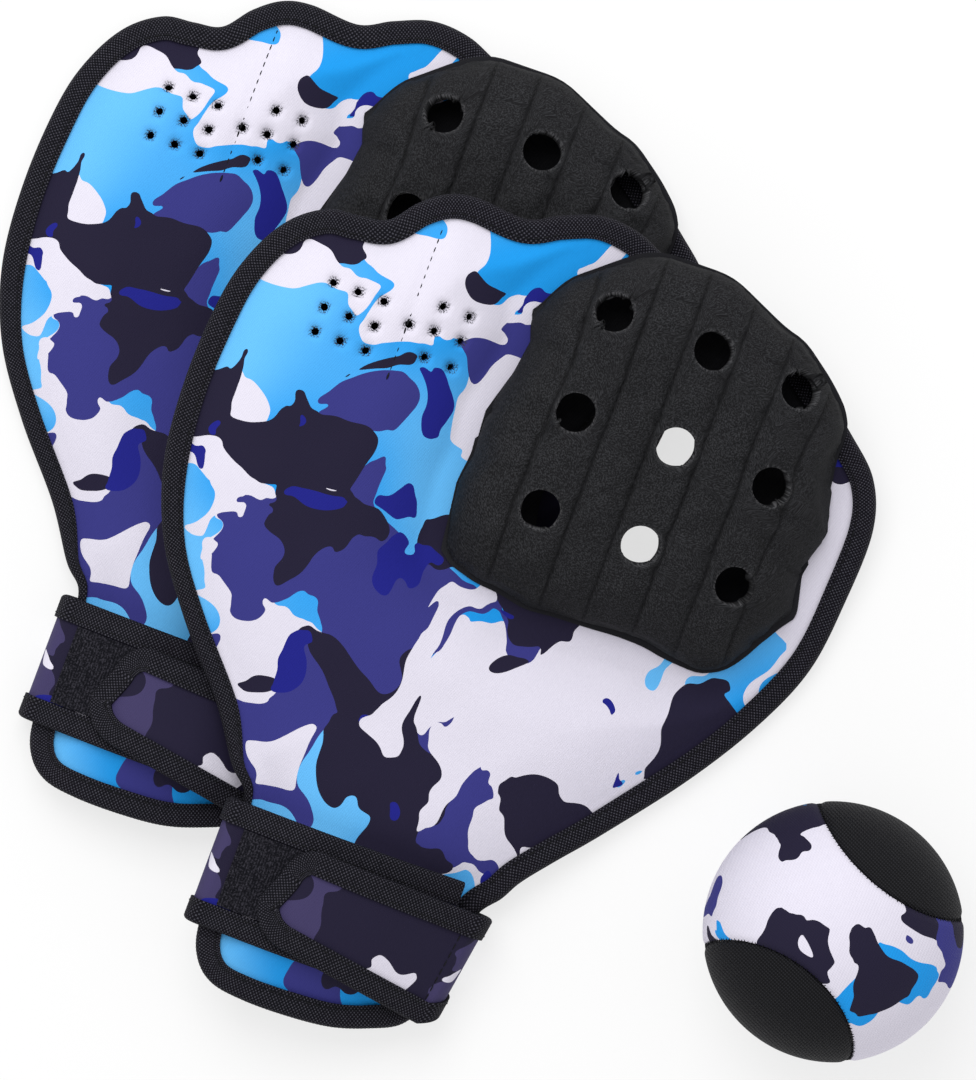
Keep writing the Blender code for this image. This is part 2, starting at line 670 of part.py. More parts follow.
def ball_panel():
    """One figure-of-eight panel, ribbed across from each seam point to its mirror point."""
    t = -math.pi / 4 + (np.arange(SEAM_RIBS) + 0.5) * math.pi / SEAM_RIBS
    left, right = ball_seam(t), ball_seam(-math.pi / 2 - t)
    angle = np.arccos(np.clip((left * right).sum(axis=1), -1, 1))
    trim = SEAM_GAP / (BALL_DIAMETER / 2) / angle
    share = trim[:, None] + np.linspace(0, 1, 6)[None] * (1 - 2 * trim)[:, None]
    weight_left = np.sin((1 - share) * angle[:, None]) / np.sin(angle)[:, None]
    weight_right = np.sin(share * angle[:, None]) / np.sin(angle)[:, None]
    skin = weight_left[..., None] * left[:, None] + weight_right[..., None] * right[:, None]
    radius = BALL_DIAMETER / 2
    outer = skin * radius
    inner = skin[:, ::-1] * (radius - COVER_THICK)
    return sweep(np.concatenate((outer, inner), axis=1))


def from_resting_side(points):
    """Distance of points of the front mitt from the line along its thumb side that stays down."""
    return np.maximum((points - LEAN_FROM) @ LEAN_NORMAL, 0)


LEAN_FROM = drawn((46.7, -48))
lean_line = drawn((122, 101)) - LEAN_FROM
LEAN_NORMAL = np.array((-lean_line[1], lean_line[0])) / np.linalg.norm(lean_line)


def fabric(name, colour, roughness=0.85):
    """A plain cloth or rubber finish."""
    material = bpy.data.materials.new(name)
    material.use_nodes = True
    shader = material.node_tree.nodes["Principled BSDF"]
    shader.inputs["Base Color"].default_value = (*colour, 1)
    shader.inputs["Roughness"].default_value = roughness
    material.diffuse_color = (*colour, 1)
    return material


def printed_fabric(name, size):
    """Cloth printed with a blotched pattern of blues on near white."""
    material = fabric(name, PALE)
    nodes, links = material.node_tree.nodes, material.node_tree.links
    place = nodes.new("ShaderNodeTexCoord")
    blotches = nodes.new("ShaderNodeTexNoise")
    blotches.inputs["Scale"].default_value = 1 / size
    blotches.inputs["Detail"].default_value = 1
    bands = nodes.new("ShaderNodeValToRGB")
    bands.color_ramp.interpolation = "CONSTANT"
    bands.color_ramp.elements[0].color = (*NAVY, 1)
    bands.color_ramp.elements[1].position = 0.42
    bands.color_ramp.elements[1].color = (*AZURE, 1)
    for position, colour in ((0.48, SKY), (0.54, PALE), (0.66, ROYAL)):
        bands.color_ramp.elements.new(position).color = (*colour, 1)
    links.new(place.outputs["Object"], blotches.inputs["Vector"])
    links.new(blotches.outputs["Fac"], bands.inputs["Fac"])
    links.new(bands.outputs["Color"], nodes["Principled BSDF"].inputs["Base Color"])
    return material


PALE = (0.80, 0.78, 0.87)
SKY = (0.11, 0.46, 0.83)
AZURE = (0.01, 0.31, 0.76)
ROYAL = (0.01, 0.015, 0.26)
NAVY = (0.017, 0.014, 0.055)
BLACK = (0.012, 0.012, 0.014)
TAPE_BLACK = (0.008, 0.008, 0.016)


def add_solid(name, vertices, faces, material, parent):
    """One named object from its own vertices, under a parent."""
    mesh = bpy.data.meshes.new(name)
    mesh.from_pydata(vertices.tolist(), [], [tuple(int(k) for k in face) for face in turn_out(vertices, faces)])
    mesh.materials.append(material)
    mesh.shade_smooth()
    mesh.set_sharp_from_angle(angle=math.radians(40))
    solid = bpy.data.objects.new(name, mesh)
    bpy.context.collection.objects.link(solid)
    solid.parent = parent
    return solid


def add_hole_cutter(name, lift, parent):
    """Nine upright prisms, one for each hole of the pocket."""
    low = RIM_TOP + POCKET_HEIGHT * 0.4
    high = RIM_TOP + POCKET_HEIGHT * 1.4
    vertices, faces = [], []
    for middle in hole_middles():
        ring = ellipse(np.array(middle), HOLE_DIAMETER, HOLE_DIAMETER, 0.0, HOLE_SIDES)
        rise = float(lift(np.array([middle]))[0])
        prism, sides = sweep(np.stack([np.column_stack((ring, np.full(HOLE_SIDES, z + rise))) for z in (low, high)]))
        sides = turn_out(prism - prism.mean(axis=0), sides)
        faces += [tuple(k + len(vertices) for k in side) for side in sides]
        vertices += prism.tolist()
    cutter = add_solid(name, np.array(vertices), faces, cutter_finish, parent)
    cutter.hide_render = True
    cutter.display_type = "WIRE"
    return cutter


print_finish = printed_fabric("printed_neoprene", 42 * mm)
black_finish = fabric("black_neoprene", BLACK)
tape_finish = fabric("grosgrain_tape", TAPE_BLACK, 0.8)
loop_finish = fabric("loop_fleece", BLACK, 0.95)
hook_finish = fabric("hook_strip", TAPE_BLACK, 0.5)
knit_finish = printed_fabric("printed_knit", 30 * mm)
mesh_finish = fabric("black_knit", BLACK, 0.7)
core_finish = fabric("foam_core", (0.55, 0.53, 0.5), 0.9)
cutter_finish = fabric("cutter", (1, 0, 0))

MITT_PIECES = {
    "palm_panel": (palm_panel, black_finish),
    "back_panel": (back_panel, print_finish),
    "pocket": (pocket, black_finish),
    "finger_binding": (finger_binding, tape_finish),
    "thumb_binding": (thumb_binding, tape_finish),
    "back_hem_binding": (back_hem_binding, tape_finish),
    "palm_hem_binding": (palm_hem_binding, tape_finish),
    "base_strap": (base_strap, print_finish),
    "base_upper_tape": (base_upper_tape, tape_finish),
    "base_lower_tape": (base_lower_tape, tape_finish),
    "loop_patch": (loop_patch, loop_finish),
    "tab_strap": (tab_strap, print_finish),
    "tab_tape": (tab_tape, tape_finish),
    "hook_patch": (hook_patch, hook_finish),
}
shapes = {piece: build() for piece, (build, _) in MITT_PIECES.items()}

# The front mitt slopes just enough to clear everything of the rear one under it.
c, s = math.cos(MITT_TURN), math.sin(MITT_TURN)
to_world = np.array(((c, -s), (s, c)))
offset = FRONT_FROM_REAR @ to_world
rear_points = np.vstack([vertices for vertices, _ in shapes.values()])
over_front = rear_points[:, :2] - offset
covered = inside(over_front, edge)
lean_slope = float(np.max((rear_points[covered, 2] + LEAN_GAP) / from_resting_side(over_front[covered])))


def flat_lift(points):
    return np.zeros(len(points))


def front_lift(points):
    return lean_slope * from_resting_side(points)


# The set is centred on its plan, with the floor at zero.
ball_radius = BALL_DIAMETER / 2
plan = np.vstack((edge @ to_world.T, edge @ to_world.T + FRONT_FROM_REAR,
                  BALL_FROM_REAR + ball_radius, BALL_FROM_REAR - ball_radius))
REAR_AT = -(plan.min(axis=0) + plan.max(axis=0)) / 2

for side, place, lift in (("rear_mitt", REAR_AT, flat_lift), ("front_mitt", REAR_AT + FRONT_FROM_REAR, front_lift)):
    mitt = bpy.data.objects.new(side, None)
    bpy.context.collection.objects.link(mitt)
    mitt.location = (*place, 0)
    mitt.rotation_euler.z = MITT_TURN
    for piece, (_, finish) in MITT_PIECES.items():
        vertices, faces = shapes[piece]
        raised = vertices.copy()
        raised[:, 2] += lift(vertices[:, :2])
        solid = add_solid(f"{side}_{piece}", raised, faces, finish, mitt)
        if piece == "pocket":
            holes = solid.modifiers.new("holes", "BOOLEAN")
            holes.operation = "DIFFERENCE"
            holes.solver = "MANIFOLD"
            holes.object = add_hole_cutter(f"{side}_holes", lift, mitt)

ball = bpy.data.objects.new("ball", None)
bpy.context.collection.objects.link(ball)
ball.location = (*(REAR_AT + BALL_FROM_REAR), ball_radius)
ball.rotation_euler = (-BALL_TIP * 0.78, BALL_TIP * 0.63, BALL_TURN)

panel_vertices, panel_faces = ball_panel()
add_solid("ball_printed_panel", panel_vertices, panel_faces, knit_finish, ball)
black_panel = add_solid("ball_black_panel", panel_vertices, panel_faces, mesh_finish, ball)
black_panel.rotation_euler.x = math.pi

# The core stays clear of the flats of the faceted panels.
facet_dip = ball_radius * (1 - math.cos(math.pi / 14))
bpy.ops.mesh.primitive_ico_sphere_add(subdivisions=3, radius=ball_radius - COVER_THICK - CLEARANCE - facet_dip)
core = bpy.context.object
core.name = "ball_core"
core.data.materials.append(core_finish)
core.data.shade_smooth()
core.parent = ball
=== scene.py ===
# %% [markdown]
# # Water ball and mitts
# Two padded catch mitts lie palm side down, one leaning on the other, beside a covered foam
# ball. The measured CAD model is the frame: it says where each piece is and how big it is.
# This script gives every piece its cloth, its seams and its finish, in the same place.

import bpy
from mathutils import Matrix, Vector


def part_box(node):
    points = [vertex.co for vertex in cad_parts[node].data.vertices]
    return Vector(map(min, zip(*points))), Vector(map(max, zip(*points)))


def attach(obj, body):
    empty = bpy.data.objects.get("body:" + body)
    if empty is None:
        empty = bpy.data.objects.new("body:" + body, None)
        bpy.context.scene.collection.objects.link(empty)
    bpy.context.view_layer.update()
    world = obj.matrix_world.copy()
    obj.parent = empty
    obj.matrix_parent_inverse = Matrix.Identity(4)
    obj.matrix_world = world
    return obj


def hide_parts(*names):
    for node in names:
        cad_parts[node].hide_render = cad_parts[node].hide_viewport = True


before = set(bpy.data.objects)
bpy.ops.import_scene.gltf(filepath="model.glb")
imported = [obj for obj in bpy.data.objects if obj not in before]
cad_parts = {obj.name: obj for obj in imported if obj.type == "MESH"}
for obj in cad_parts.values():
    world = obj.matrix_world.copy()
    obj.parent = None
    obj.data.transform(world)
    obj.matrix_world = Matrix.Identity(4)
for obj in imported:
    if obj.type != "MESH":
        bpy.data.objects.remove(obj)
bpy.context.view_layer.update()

import math

import bpy
import numpy as np
from mathutils import Euler

mm = 0.001

# %% [markdown]
# ## Sizes
# A mitt is drawn flat in its own frame: x towards the thumb, y towards the fingertips, and
# zero at the middle of its cuff. The layers stack up from the floor: tape, palm, back, tape.
# They are the sizes that the CAD model was built from, so each new piece fits over its solid.

# %% Sizes of the real thing
PANEL_THICK = 3 * mm
CLEARANCE = 0.3 * mm
TAPE_THICK = 0.8 * mm
TAPE_COVER = 8.5 * mm
TAPE_RIB = 1.3 * mm
TAPE_ROW = 1.5 * mm
TAPE_STEP = 0.48 * mm      # along a tape, from one section to the next
HEM_EASE = 0.2 * mm
BACK_CROWN = 8.5 * mm
CROWN_START = TAPE_COVER + 1 * mm
CROWN_RUN = 32 * mm
STRAP_THICK = 2 * mm
PATCH_THICK = 1.2 * mm
POCKET_HEIGHT = 29 * mm
POCKET_THICK = 3 * mm
RIM_BOTTOM = TAPE_THICK + CLEARANCE
RIM_TOP = RIM_BOTTOM + 2 * PANEL_THICK + CLEARANCE
STRAP_HALF = STRAP_THICK / 2 + CLEARANCE + TAPE_THICK
CUFF_RAISE = 2 * STRAP_HALF + CLEARANCE - RIM_BOTTOM
MITT_TURN = math.radians(-20.5)
print("layers at the rim, mm:", round(RIM_BOTTOM / mm, 2), "to", round(RIM_TOP / mm, 2))

# %% [markdown]
# ## Grids
# Nearly every piece here is a grid of points bent into shape. One function turns a grid into
# faces. It can close the grid into a tube, cap the tube's ends, leave cells out for holes,
# and keep a UV map that runs with the cloth, which the materials read in metres.

# %% Faces from a grid of points


def cells(rows, columns, closed=(False, False), keep=None, caps=False):
    """Corner numbers of each cell of a grid, as row and column arrays of four.

    Cell (i, j) runs through (i, j), (i+1, j), (i+1, j+1) and (i, j+1). A cap joins point k
    of an end ring to point k from the ring's other end, so the ring runs out and back.
    """
    i, j = np.meshgrid(np.arange(rows if closed[0] else rows - 1),
                       np.arange(columns if closed[1] else columns - 1), indexing="ij")
    i, j = (i.ravel(), j.ravel()) if keep is None else (i[keep], j[keep])
    corner_i = np.stack((i, i + 1, i + 1, i), axis=1)
    corner_j = np.stack((j, j, j + 1, j + 1), axis=1)
    if caps:
        k = np.arange(columns // 2 - 1)
        ring = np.stack((k, k + 1, columns - 2 - k, columns - 1 - k), axis=1)
        corner_i = np.vstack((corner_i, np.zeros_like(ring), np.full_like(ring, rows - 1)))
        corner_j = np.vstack((corner_j, ring, ring[:, ::-1]))
    return corner_i, corner_j


def volume_of(vertices, quads):
    """Six times the volume inside the quads: the sum of a . (b x c) over their two triangles."""
    a, b, c, d = (vertices[quads[:, k]] for k in range(4))
    return float((a * (np.cross(b, c) + np.cross(c, d))).sum())


print("rows of the corners of one cell:", cells(2, 2)[0].tolist())

# %% Meshes and pieces


def put_mesh(name, vertices, quads, corner_uv=None, sharp=50):
    """A mesh object at the origin from vertices, quads and the UV of each quad's corners."""
    mesh = bpy.data.meshes.new(name)
    mesh.from_pydata(vertices, [], quads)
    if corner_uv is not None:
        layer = mesh.uv_layers.new(name="cloth")
        layer.uv.foreach_set("vector", np.ascontiguousarray(corner_uv, dtype=np.float32).ravel())
    mesh.shade_smooth()
    mesh.set_sharp_from_angle(angle=math.radians(sharp))
    piece = bpy.data.objects.new(name, mesh)
    bpy.context.scene.collection.objects.link(piece)
    return piece


def grid_piece(name, points, uv=None, closed=(False, False), keep=None, caps=False, values=None):
    """One object from a grid of points, its outside turned outwards where the grid is closed."""
    rows, columns = points.shape[:2]
    corner_i, corner_j = cells(rows, columns, closed, keep, caps)
    if closed[1] and volume_of(points.reshape(-1, 3), corner_i % rows * columns + corner_j % columns) < 0:
        corner_i, corner_j = corner_i[:, ::-1], corner_j[:, ::-1]
    used, quads = np.unique(corner_i % rows * columns + corner_j % columns, return_inverse=True)
    corner_uv = None if uv is None else uv[corner_i, corner_j]
    piece = put_mesh(name, points.reshape(-1, 3)[used], quads.reshape(-1, 4), corner_uv)
    for key, value in (values or {}).items():
        layer = piece.data.attributes.new(key, "FLOAT", "POINT")
        layer.data.foreach_set("value", value.reshape(-1)[used].astype(np.float32))
    return piece


def dress(piece, finish, slot, *nodes):
    """Gives a piece its finish, lets it ride with the set, and hides the solids it stands for. The slot is
    not used.
    """
    piece.data.materials.append(finish)
    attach(piece, "root")
    if nodes:
        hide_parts(*nodes)
    return piece


# %% [markdown]
# ## The outline of a mitt
# A tailor cuts both panels from one pattern, so everything follows one outline: the little
# finger's side, the scalloped fingertips, the thumb's side, the cuff and the curved hem. A
# curve that passes through each drawn point keeps the dips between the fingers crisp.

# %% Pattern outline, in millimetres
FINGER_EDGE = [(-42.5, 7.5), (-49.7, 15), (-62, 33), (-82, 56), (-98, 79), (-107.5, 105), (-110.4, 135),
               (-108.7, 165), (-104, 183), (-96, 197), (-85, 205.4), (-74, 207.2), (-64.3, 209.3),
               (-56.6, 218.4), (-47.8, 225), (-37.5, 227.3), (-20.3, 226.5), (-9, 232), (4, 236.8),
               (18, 236)]
COVERED_EDGE = [(34, 230), (56, 227), (78, 220), (97, 208)]
THUMB_EDGE = [(112, 197), (124.8, 185), (131, 168), (130.7, 142), (127.5, 115), (117, 90), (101, 64),
              (80, 36.5), (67.4, 21.5), (58.8, 10.7), (54.5, 3)]
CUFF_THUMB_SIDE = [(48.2, -6), (45, -25), (42, -41)]
HEM_EDGE = [(37, -50), (27, -55), (14, -59), (-2, -60.5), (-18, -60.5), (-30, -58.5), (-37.5, -52)]
CUFF_FINGER_SIDE = [(-41, -41), (-41, -20), (-41, -4)]
OUTLINE = FINGER_EDGE + COVERED_EDGE + THUMB_EDGE + CUFF_THUMB_SIDE + HEM_EDGE + CUFF_FINGER_SIDE
TAPES_MEET = len(FINGER_EDGE) + 1
THUMB_TAPE_END = len(FINGER_EDGE) + len(COVERED_EDGE) + len(THUMB_EDGE) - 1
HEM_START = THUMB_TAPE_END + len(CUFF_THUMB_SIDE) + 1
HEM_END = HEM_START + len(HEM_EDGE) - 1
CURVE_STEPS = 12


print("drawn points of the outline:", len(OUTLINE))

# %% Curves and even steps


def curve_through(controls, steps=CURVE_STEPS):
    """Closed Catmull-Rom curve: between two controls it is the cubic whose slope at each one
    is half the step from the control before to the control after."""
    here = np.asarray(controls, dtype=float) * mm
    before, after, far = (np.roll(here, k, axis=0)[:, None] for k in (1, -1, -2))
    here = here[:, None]
    t = (np.arange(steps) / steps)[None, :, None]
    curve = 0.5 * (2 * here + (after - before) * t + (2 * before - 5 * here + 4 * after - far) * t ** 2
                   + (3 * here - before - 3 * after + far) * t ** 3)
    return curve.reshape(-1, 2)


def path_length(path):
    """Length of an open path."""
    return float(np.linalg.norm(np.diff(path, axis=0), axis=1).sum())


def lengths_along(path):
    """Distance along a path at each of its points."""
    return np.concatenate(([0], np.cumsum(np.linalg.norm(np.diff(path, axis=0), axis=1))))


def at_places(places, lengths, values):
    """Rows of values between those known at some lengths, one for each place."""
    return np.stack([np.interp(places, lengths, column) for column in values.T], axis=1)


def evenly(path, step):
    """Points at even distances along an open path, and the distance of each one."""
    lengths = lengths_along(path)
    places = np.linspace(0, lengths[-1], max(2, round(lengths[-1] / step) + 1))
    return at_places(places, lengths, path), places


def inward_of(path, smooth=9):
    """Unit directions square to a clockwise path, to its right, averaged over a few neighbours."""
    along = np.gradient(path, axis=0)
    padded = np.pad(along, ((smooth, smooth), (0, 0)), mode="edge")
    even = np.ones(2 * smooth + 1) / (2 * smooth + 1)
    along = np.stack([np.convolve(padded[:, k], even, mode="valid") for k in range(2)], axis=1)
    along /= np.linalg.norm(along, axis=1)[:, None]
    return np.stack((along[:, 1], -along[:, 0]), axis=1)


def inset(loop, distance):
    """A closed clockwise loop moved inwards by one distance."""
    ends = np.vstack((loop[-12:], loop, loop[:12]))
    return loop + inward_of(ends, 2)[12:-12] * distance


edge = curve_through(OUTLINE)
print("outline:", len(edge), "points,", round(path_length(edge) / mm), "mm round")

# %% Distances and tests in plan


def distance_to(x, y, loop):
    """Distance in plan from each point to a closed loop, the least over its straight steps."""
    start, end = loop.astype(np.float32), np.roll(loop, -1, axis=0).astype(np.float32)
    step = end - start
    reach_x = x.astype(np.float32).reshape(-1, 1) - start[:, 0]
    reach_y = y.astype(np.float32).reshape(-1, 1) - start[:, 1]
    share = np.clip((reach_x * step[:, 0] + reach_y * step[:, 1]) / (step * step).sum(axis=1), 0, 1)
    reach_x -= share * step[:, 0]
    reach_y -= share * step[:, 1]
    return np.sqrt((reach_x ** 2 + reach_y ** 2).min(axis=1)).reshape(x.shape).astype(float)


def nearest_on(x, y, loop):
    """The nearest corner of a finely drawn loop to each point."""
    nearest = ((x[:, None] - loop[:, 0]) ** 2 + (y[:, None] - loop[:, 1]) ** 2).argmin(axis=1)
    return loop[nearest]


def inside(x, y, loop):
    """Whether each point lies in a loop: a ray to its right crosses the loop an odd number of times."""
    ax, ay = loop[:, 0].astype(np.float32), loop[:, 1].astype(np.float32)
    bx, by = np.roll(ax, -1), np.roll(ay, -1)
    px, py = x.astype(np.float32).reshape(-1, 1), y.astype(np.float32).reshape(-1, 1)
    crosses = ((ay > py) != (by > py)) & (px < ax + (py - ay) * (bx - ax) / np.where(by == ay, 1, by - ay))
    return (crosses.sum(axis=1) % 2 == 1).reshape(x.shape)


print("the palm lies inside the outline:", bool(inside(np.zeros(1), np.full(1, 100 * mm), edge)[0]))

# %% Soft steps and ripples


def smoothstep(value):
    """0 below 0, 1 above 1, and an S curve between."""
    value = np.clip(value, 0, 1)
    return value * value * (3 - 2 * value)


def ripple(x, y, length, seed):
    """A smooth random-looking field from -1 to 1: five sine waves about one length, each its own way."""
    angle = np.arange(5) * 2.4 + seed
    pace = math.tau / length * (0.7 + 0.15 * np.arange(5))
    waves = [np.sin(p * (x * math.cos(a) + y * math.sin(a)) + 3.1 * a) for a, p in zip(angle, pace)]
    return sum(waves) / 5


print("half way up the S curve:", float(smoothstep(0.5)))

# %% [markdown]
# ## Where the mitts and the ball lie
# Both mitts are one shape. The rear one lies flat, and the front one rises in a straight
# slope from the side that stays down. Their places and the slope are read off the CAD boxes.

# %% Read the places off the CAD model
turn_c, turn_s = math.cos(MITT_TURN), math.sin(MITT_TURN)
panel_edge = inset(edge, TAPE_THICK + CLEARANCE)
RESTING_FROM, RESTING_TO = np.array(((46.7, -48), (122, 101))) * mm
resting_line = RESTING_TO - RESTING_FROM
RESTING_NORMAL = np.array((-resting_line[1], resting_line[0])) / np.linalg.norm(resting_line)


def turned(x, y):
    """Plan places turned as the mitts lie."""
    return turn_c * x - turn_s * y, turn_s * x + turn_c * y


def from_resting_side(x, y):
    """Distance from the line along the thumb's side that stays on the floor."""
    away = (x - RESTING_FROM[0]) * RESTING_NORMAL[0] + (y - RESTING_FROM[1]) * RESTING_NORMAL[1]
    return np.maximum(away, 0)


MITTS = {}
turned_edge = np.stack(turned(panel_edge[:, 0], panel_edge[:, 1]), axis=1)
for mitt in ("rear_mitt", "front_mitt"):
    low, high = (np.array(corner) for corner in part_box(f"{mitt}_palm_panel"))
    at = (low + high)[:2] / 2 - (turned_edge.min(axis=0) + turned_edge.max(axis=0)) / 2
    rise = high[2] - RIM_BOTTOM - PANEL_THICK
    furthest = from_resting_side(panel_edge[:, 0], panel_edge[:, 1]).max()
    slope = rise / furthest if mitt == "front_mitt" else 0.0
    MITTS[mitt] = (at[0], at[1], slope)
    print(mitt, "at", np.round(at / mm, 1), "mm, slope", round(slope, 4))
ball_low, ball_high = (np.array(corner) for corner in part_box("ball_core"))
BALL_AT = (ball_low + ball_high) / 2
BALL_RADIUS = float(BALL_AT[2])
print("ball at", np.round(BALL_AT / mm, 1), "mm")


def laid(points, mitt):
    """Points of a mitt's own frame, put where that mitt lies: turned, moved and lifted along its slope."""
    at_x, at_y, slope = MITTS[mitt]
    x, y, z = points[..., 0], points[..., 1], points[..., 2]
    plan_x, plan_y = turned(x, y)
    return np.stack((plan_x + at_x, plan_y + at_y, z + slope * from_resting_side(x, y)), axis=-1)


# %% [markdown]
# ## Finishes as sums
# A finish is worked out from a few numbers at each point: how far along a tape, how deep in a
# weave. Python's own operators read better than a drawn net of nodes, so one small class
# stands for a node's output, and an expression on it adds the Math nodes.

# %% Shader values that Python can add and scale


class Signal:
    """An output of a shader node. Operators add Math nodes, and node() adds any other node."""

    def __init__(self, tree, socket=None):
        self.tree = tree
        self.socket = socket

    def node(self, kind, settings=None, sockets=None, output=0):
        """A node of a type, with its settings made first and then its sockets set or linked."""
        made = self.tree.nodes.new("ShaderNode" + kind)
        for key, value in (settings or {}).items():
            setattr(made, key, value)
        for key, value in (sockets or {}).items():
            if isinstance(value, Signal):
                self.tree.links.new(value.socket, made.inputs[key])
            else:
                made.inputs[key].default_value = value
        return Signal(self.tree, made.outputs[output])

    def output(self, key):
        """Another output of the same node."""
        return Signal(self.tree, self.socket.node.outputs[key])

    def math(self, operation, *values):
        """A Math node over some values."""
        return self.node("Math", {"operation": operation}, dict(enumerate(values)))

    def __add__(self, other):
        return self.math("ADD", self, other)

    __radd__ = __add__

    def __sub__(self, other):
        return self.math("SUBTRACT", self, other)

    def __rsub__(self, other):
        return self.math("SUBTRACT", other, self)

    def __mul__(self, other):
        return self.math("MULTIPLY", self, other)

    __rmul__ = __mul__

    def __gt__(self, other):
        return self.math("GREATER_THAN", self, other)


print("a signal can:", [name for name in vars(Signal) if name[0] != "_"])

# %% Colours, noise and steps


def mixed(factor, first, second):
    """One colour where the factor is 0, the other where it is 1."""
    return factor.node("Mix", {"data_type": "RGBA"}, {0: factor, 6: first, 7: second}, 2)


def noise(place, size, seed=0.0, detail=1.0, output=0):
    """Noise whose blobs are about one size, different for each seed."""
    return place.node("TexNoise", {"noise_dimensions": "4D"},
                      {"Vector": place, "W": seed, "Scale": 1 / size, "Detail": detail}, output)


def step_up(value, low, high):
    """0 below low, 1 above high, and an S curve between."""
    return value.node("MapRange", {"interpolation_type": "SMOOTHSTEP"},
                      {"Value": value, "From Min": low, "From Max": high})


print("helpers:", mixed.__name__, noise.__name__, step_up.__name__)

# %% Materials and places


def finish(name, paint, **constants):
    """A material: paint gives what changes over the surface, and constants go on the shader itself."""
    material = bpy.data.materials.new(name)
    material.use_nodes = True
    tree = material.node_tree
    shader = tree.nodes["Principled BSDF"]
    for key, value in paint(Signal(tree)).items():
        tree.links.new(value.socket, shader.inputs[key])
    for key, value in constants.items():
        shader.inputs[key.replace("_", " ")].default_value = value
    return material


def cloth_place(start):
    """The cloth's own UV map, in metres."""
    return start.node("TexCoord", output=2)


def two_ways(place):
    """The first two coordinates of a place: along the cloth and across it."""
    along = place.node("SeparateXYZ", {}, {"Vector": place})
    return along, along.output(1)


def drawn_on(start, name):
    """A value that the mesh carries at its points."""
    return start.node("Attribute", {"attribute_name": name}, output=2)


def sine(value, pitch):
    """A sine wave over a length, from -1 to 1, that comes round once in every pitch."""
    return value.math("SINE", value * (math.tau / pitch))


def bumped(height, distance, strength=1.0):
    """The surface's normal over a height from 0 to 1, that many metres tall."""
    return height.node("Bump", {}, {"Height": height, "Distance": distance, "Strength": strength})


print("a finish is made by:", finish.__name__)

# %% [markdown]
# ## Printed neoprene
# The backs are foam faced with jersey and printed in blotches of white, blues and navy. Noise
# bends the coordinates first, so that the blotches get lobes and hooks, and hard steps of
# more noise then cut one ink from the next. A fine jersey grain dulls the inks a little.

# %% Inks
WHITE_INK = (0.74, 0.71, 0.81, 1)
SKY_INK = (0.13, 0.50, 0.93, 1)
AZURE_INK = (0.008, 0.31, 0.80, 1)
INDIGO_INK = (0.036, 0.036, 0.215, 1)
ROYAL_INK = (0.010, 0.012, 0.225, 1)
NAVY_INK = (0.012, 0.009, 0.030, 1)
PURPLE_INK = (0.050, 0.040, 0.115, 1)
FRAYED_FOAM = (0.03, 0.03, 0.04, 1)
BLOTCH_SIZE, BLOTCH_LOBES, JERSEY_PITCH = 56 * mm, 60 * mm, 0.9 * mm


print("blotches of the mitts, mm:", round(BLOTCH_SIZE / mm))

# %% Blotches


def bent_place(place, size, lobes, seed):
    """Coordinates pushed about by two noises, one for big lobes and one for small hooks."""
    for share, reach in ((0.50, lobes), (0.20, lobes * 0.22)):
        bend = noise(place, size * share, seed + 7 + share, 0.3, output=1)
        place = place.node("VectorMath", {"operation": "MULTIPLY_ADD"},
                           {0: bend, 1: (reach,) * 3, 2: place})
    return place


def blotches(place, size, lobes, seed):
    """Ink colours in hard-edged blotches of about one size, with lobes about a third as big."""
    bent = bent_place(place, size, lobes, seed)
    blue_shade = step_up(noise(place, size * 1.5, seed + 1.3, 0.5), 0.42, 0.60)
    blue = mixed(blue_shade, SKY_INK, AZURE_INK)
    colour = mixed(noise(bent, size * 1.10, seed + 2.1, 0.4) > 0.475, WHITE_INK, blue)
    colour = mixed(noise(bent, size * 0.95, seed + 3.7, 0.4) > 0.565, colour, INDIGO_INK)
    colour = mixed(noise(bent, size * 0.75, seed + 5.2, 0.5) > 0.565, colour, NAVY_INK)
    colour = mixed(noise(bent, size * 0.42, seed + 6.4, 0.3) > 0.660, colour, ROYAL_INK)
    return mixed(noise(bent, size * 0.50, seed + 8.8, 0.3) > 0.625, colour, WHITE_INK)


def ball_blotches(place, size, lobes, seed):
    """The ball's cloth: white with navy blotches, a little blue, and purple blotches here and there."""
    bent = bent_place(place, size, lobes, seed)
    colour = mixed(noise(bent, size * 1.1, seed + 1.9, 0.4) > 0.600, WHITE_INK, AZURE_INK)
    colour = mixed(noise(bent, size * 0.85, seed + 3.1, 0.4) > 0.545, colour, NAVY_INK)
    return mixed(noise(bent, size * 0.9, seed + 4.6, 0.4) > 0.630, colour, INDIGO_INK)


def dark_blotches(place, size, lobes, seed):
    """The strap's end of the cloth: mostly navy and purple, with royal spots and white bars."""
    bent = bent_place(place, size, lobes, seed)
    colour = mixed(noise(bent, size * 1.1, seed + 2.1, 0.5) > 0.52, NAVY_INK, PURPLE_INK)
    colour = mixed(noise(bent, size * 0.5, seed + 3.3, 0.5) > 0.66, colour, ROYAL_INK)
    return mixed(noise(bent, size * 0.5, seed + 4.8, 0.3) > 0.625, colour, WHITE_INK)


print("kinds of blotches:", [kind.__name__ for kind in (blotches, ball_blotches, dark_blotches)])

# %% Jersey and the printed finishes


def jersey(place, pitch):
    """Height of a fine knit: slanted rows crossed by columns of loops, with a little noise."""
    along, across = two_ways(place)
    rows = sine(along + 0.35 * across, pitch)
    columns = sine(across, pitch * 1.25)
    return 0.5 + 0.2 * rows * columns + 0.3 * noise(place, pitch * 1.4, 2.0, 2.0)


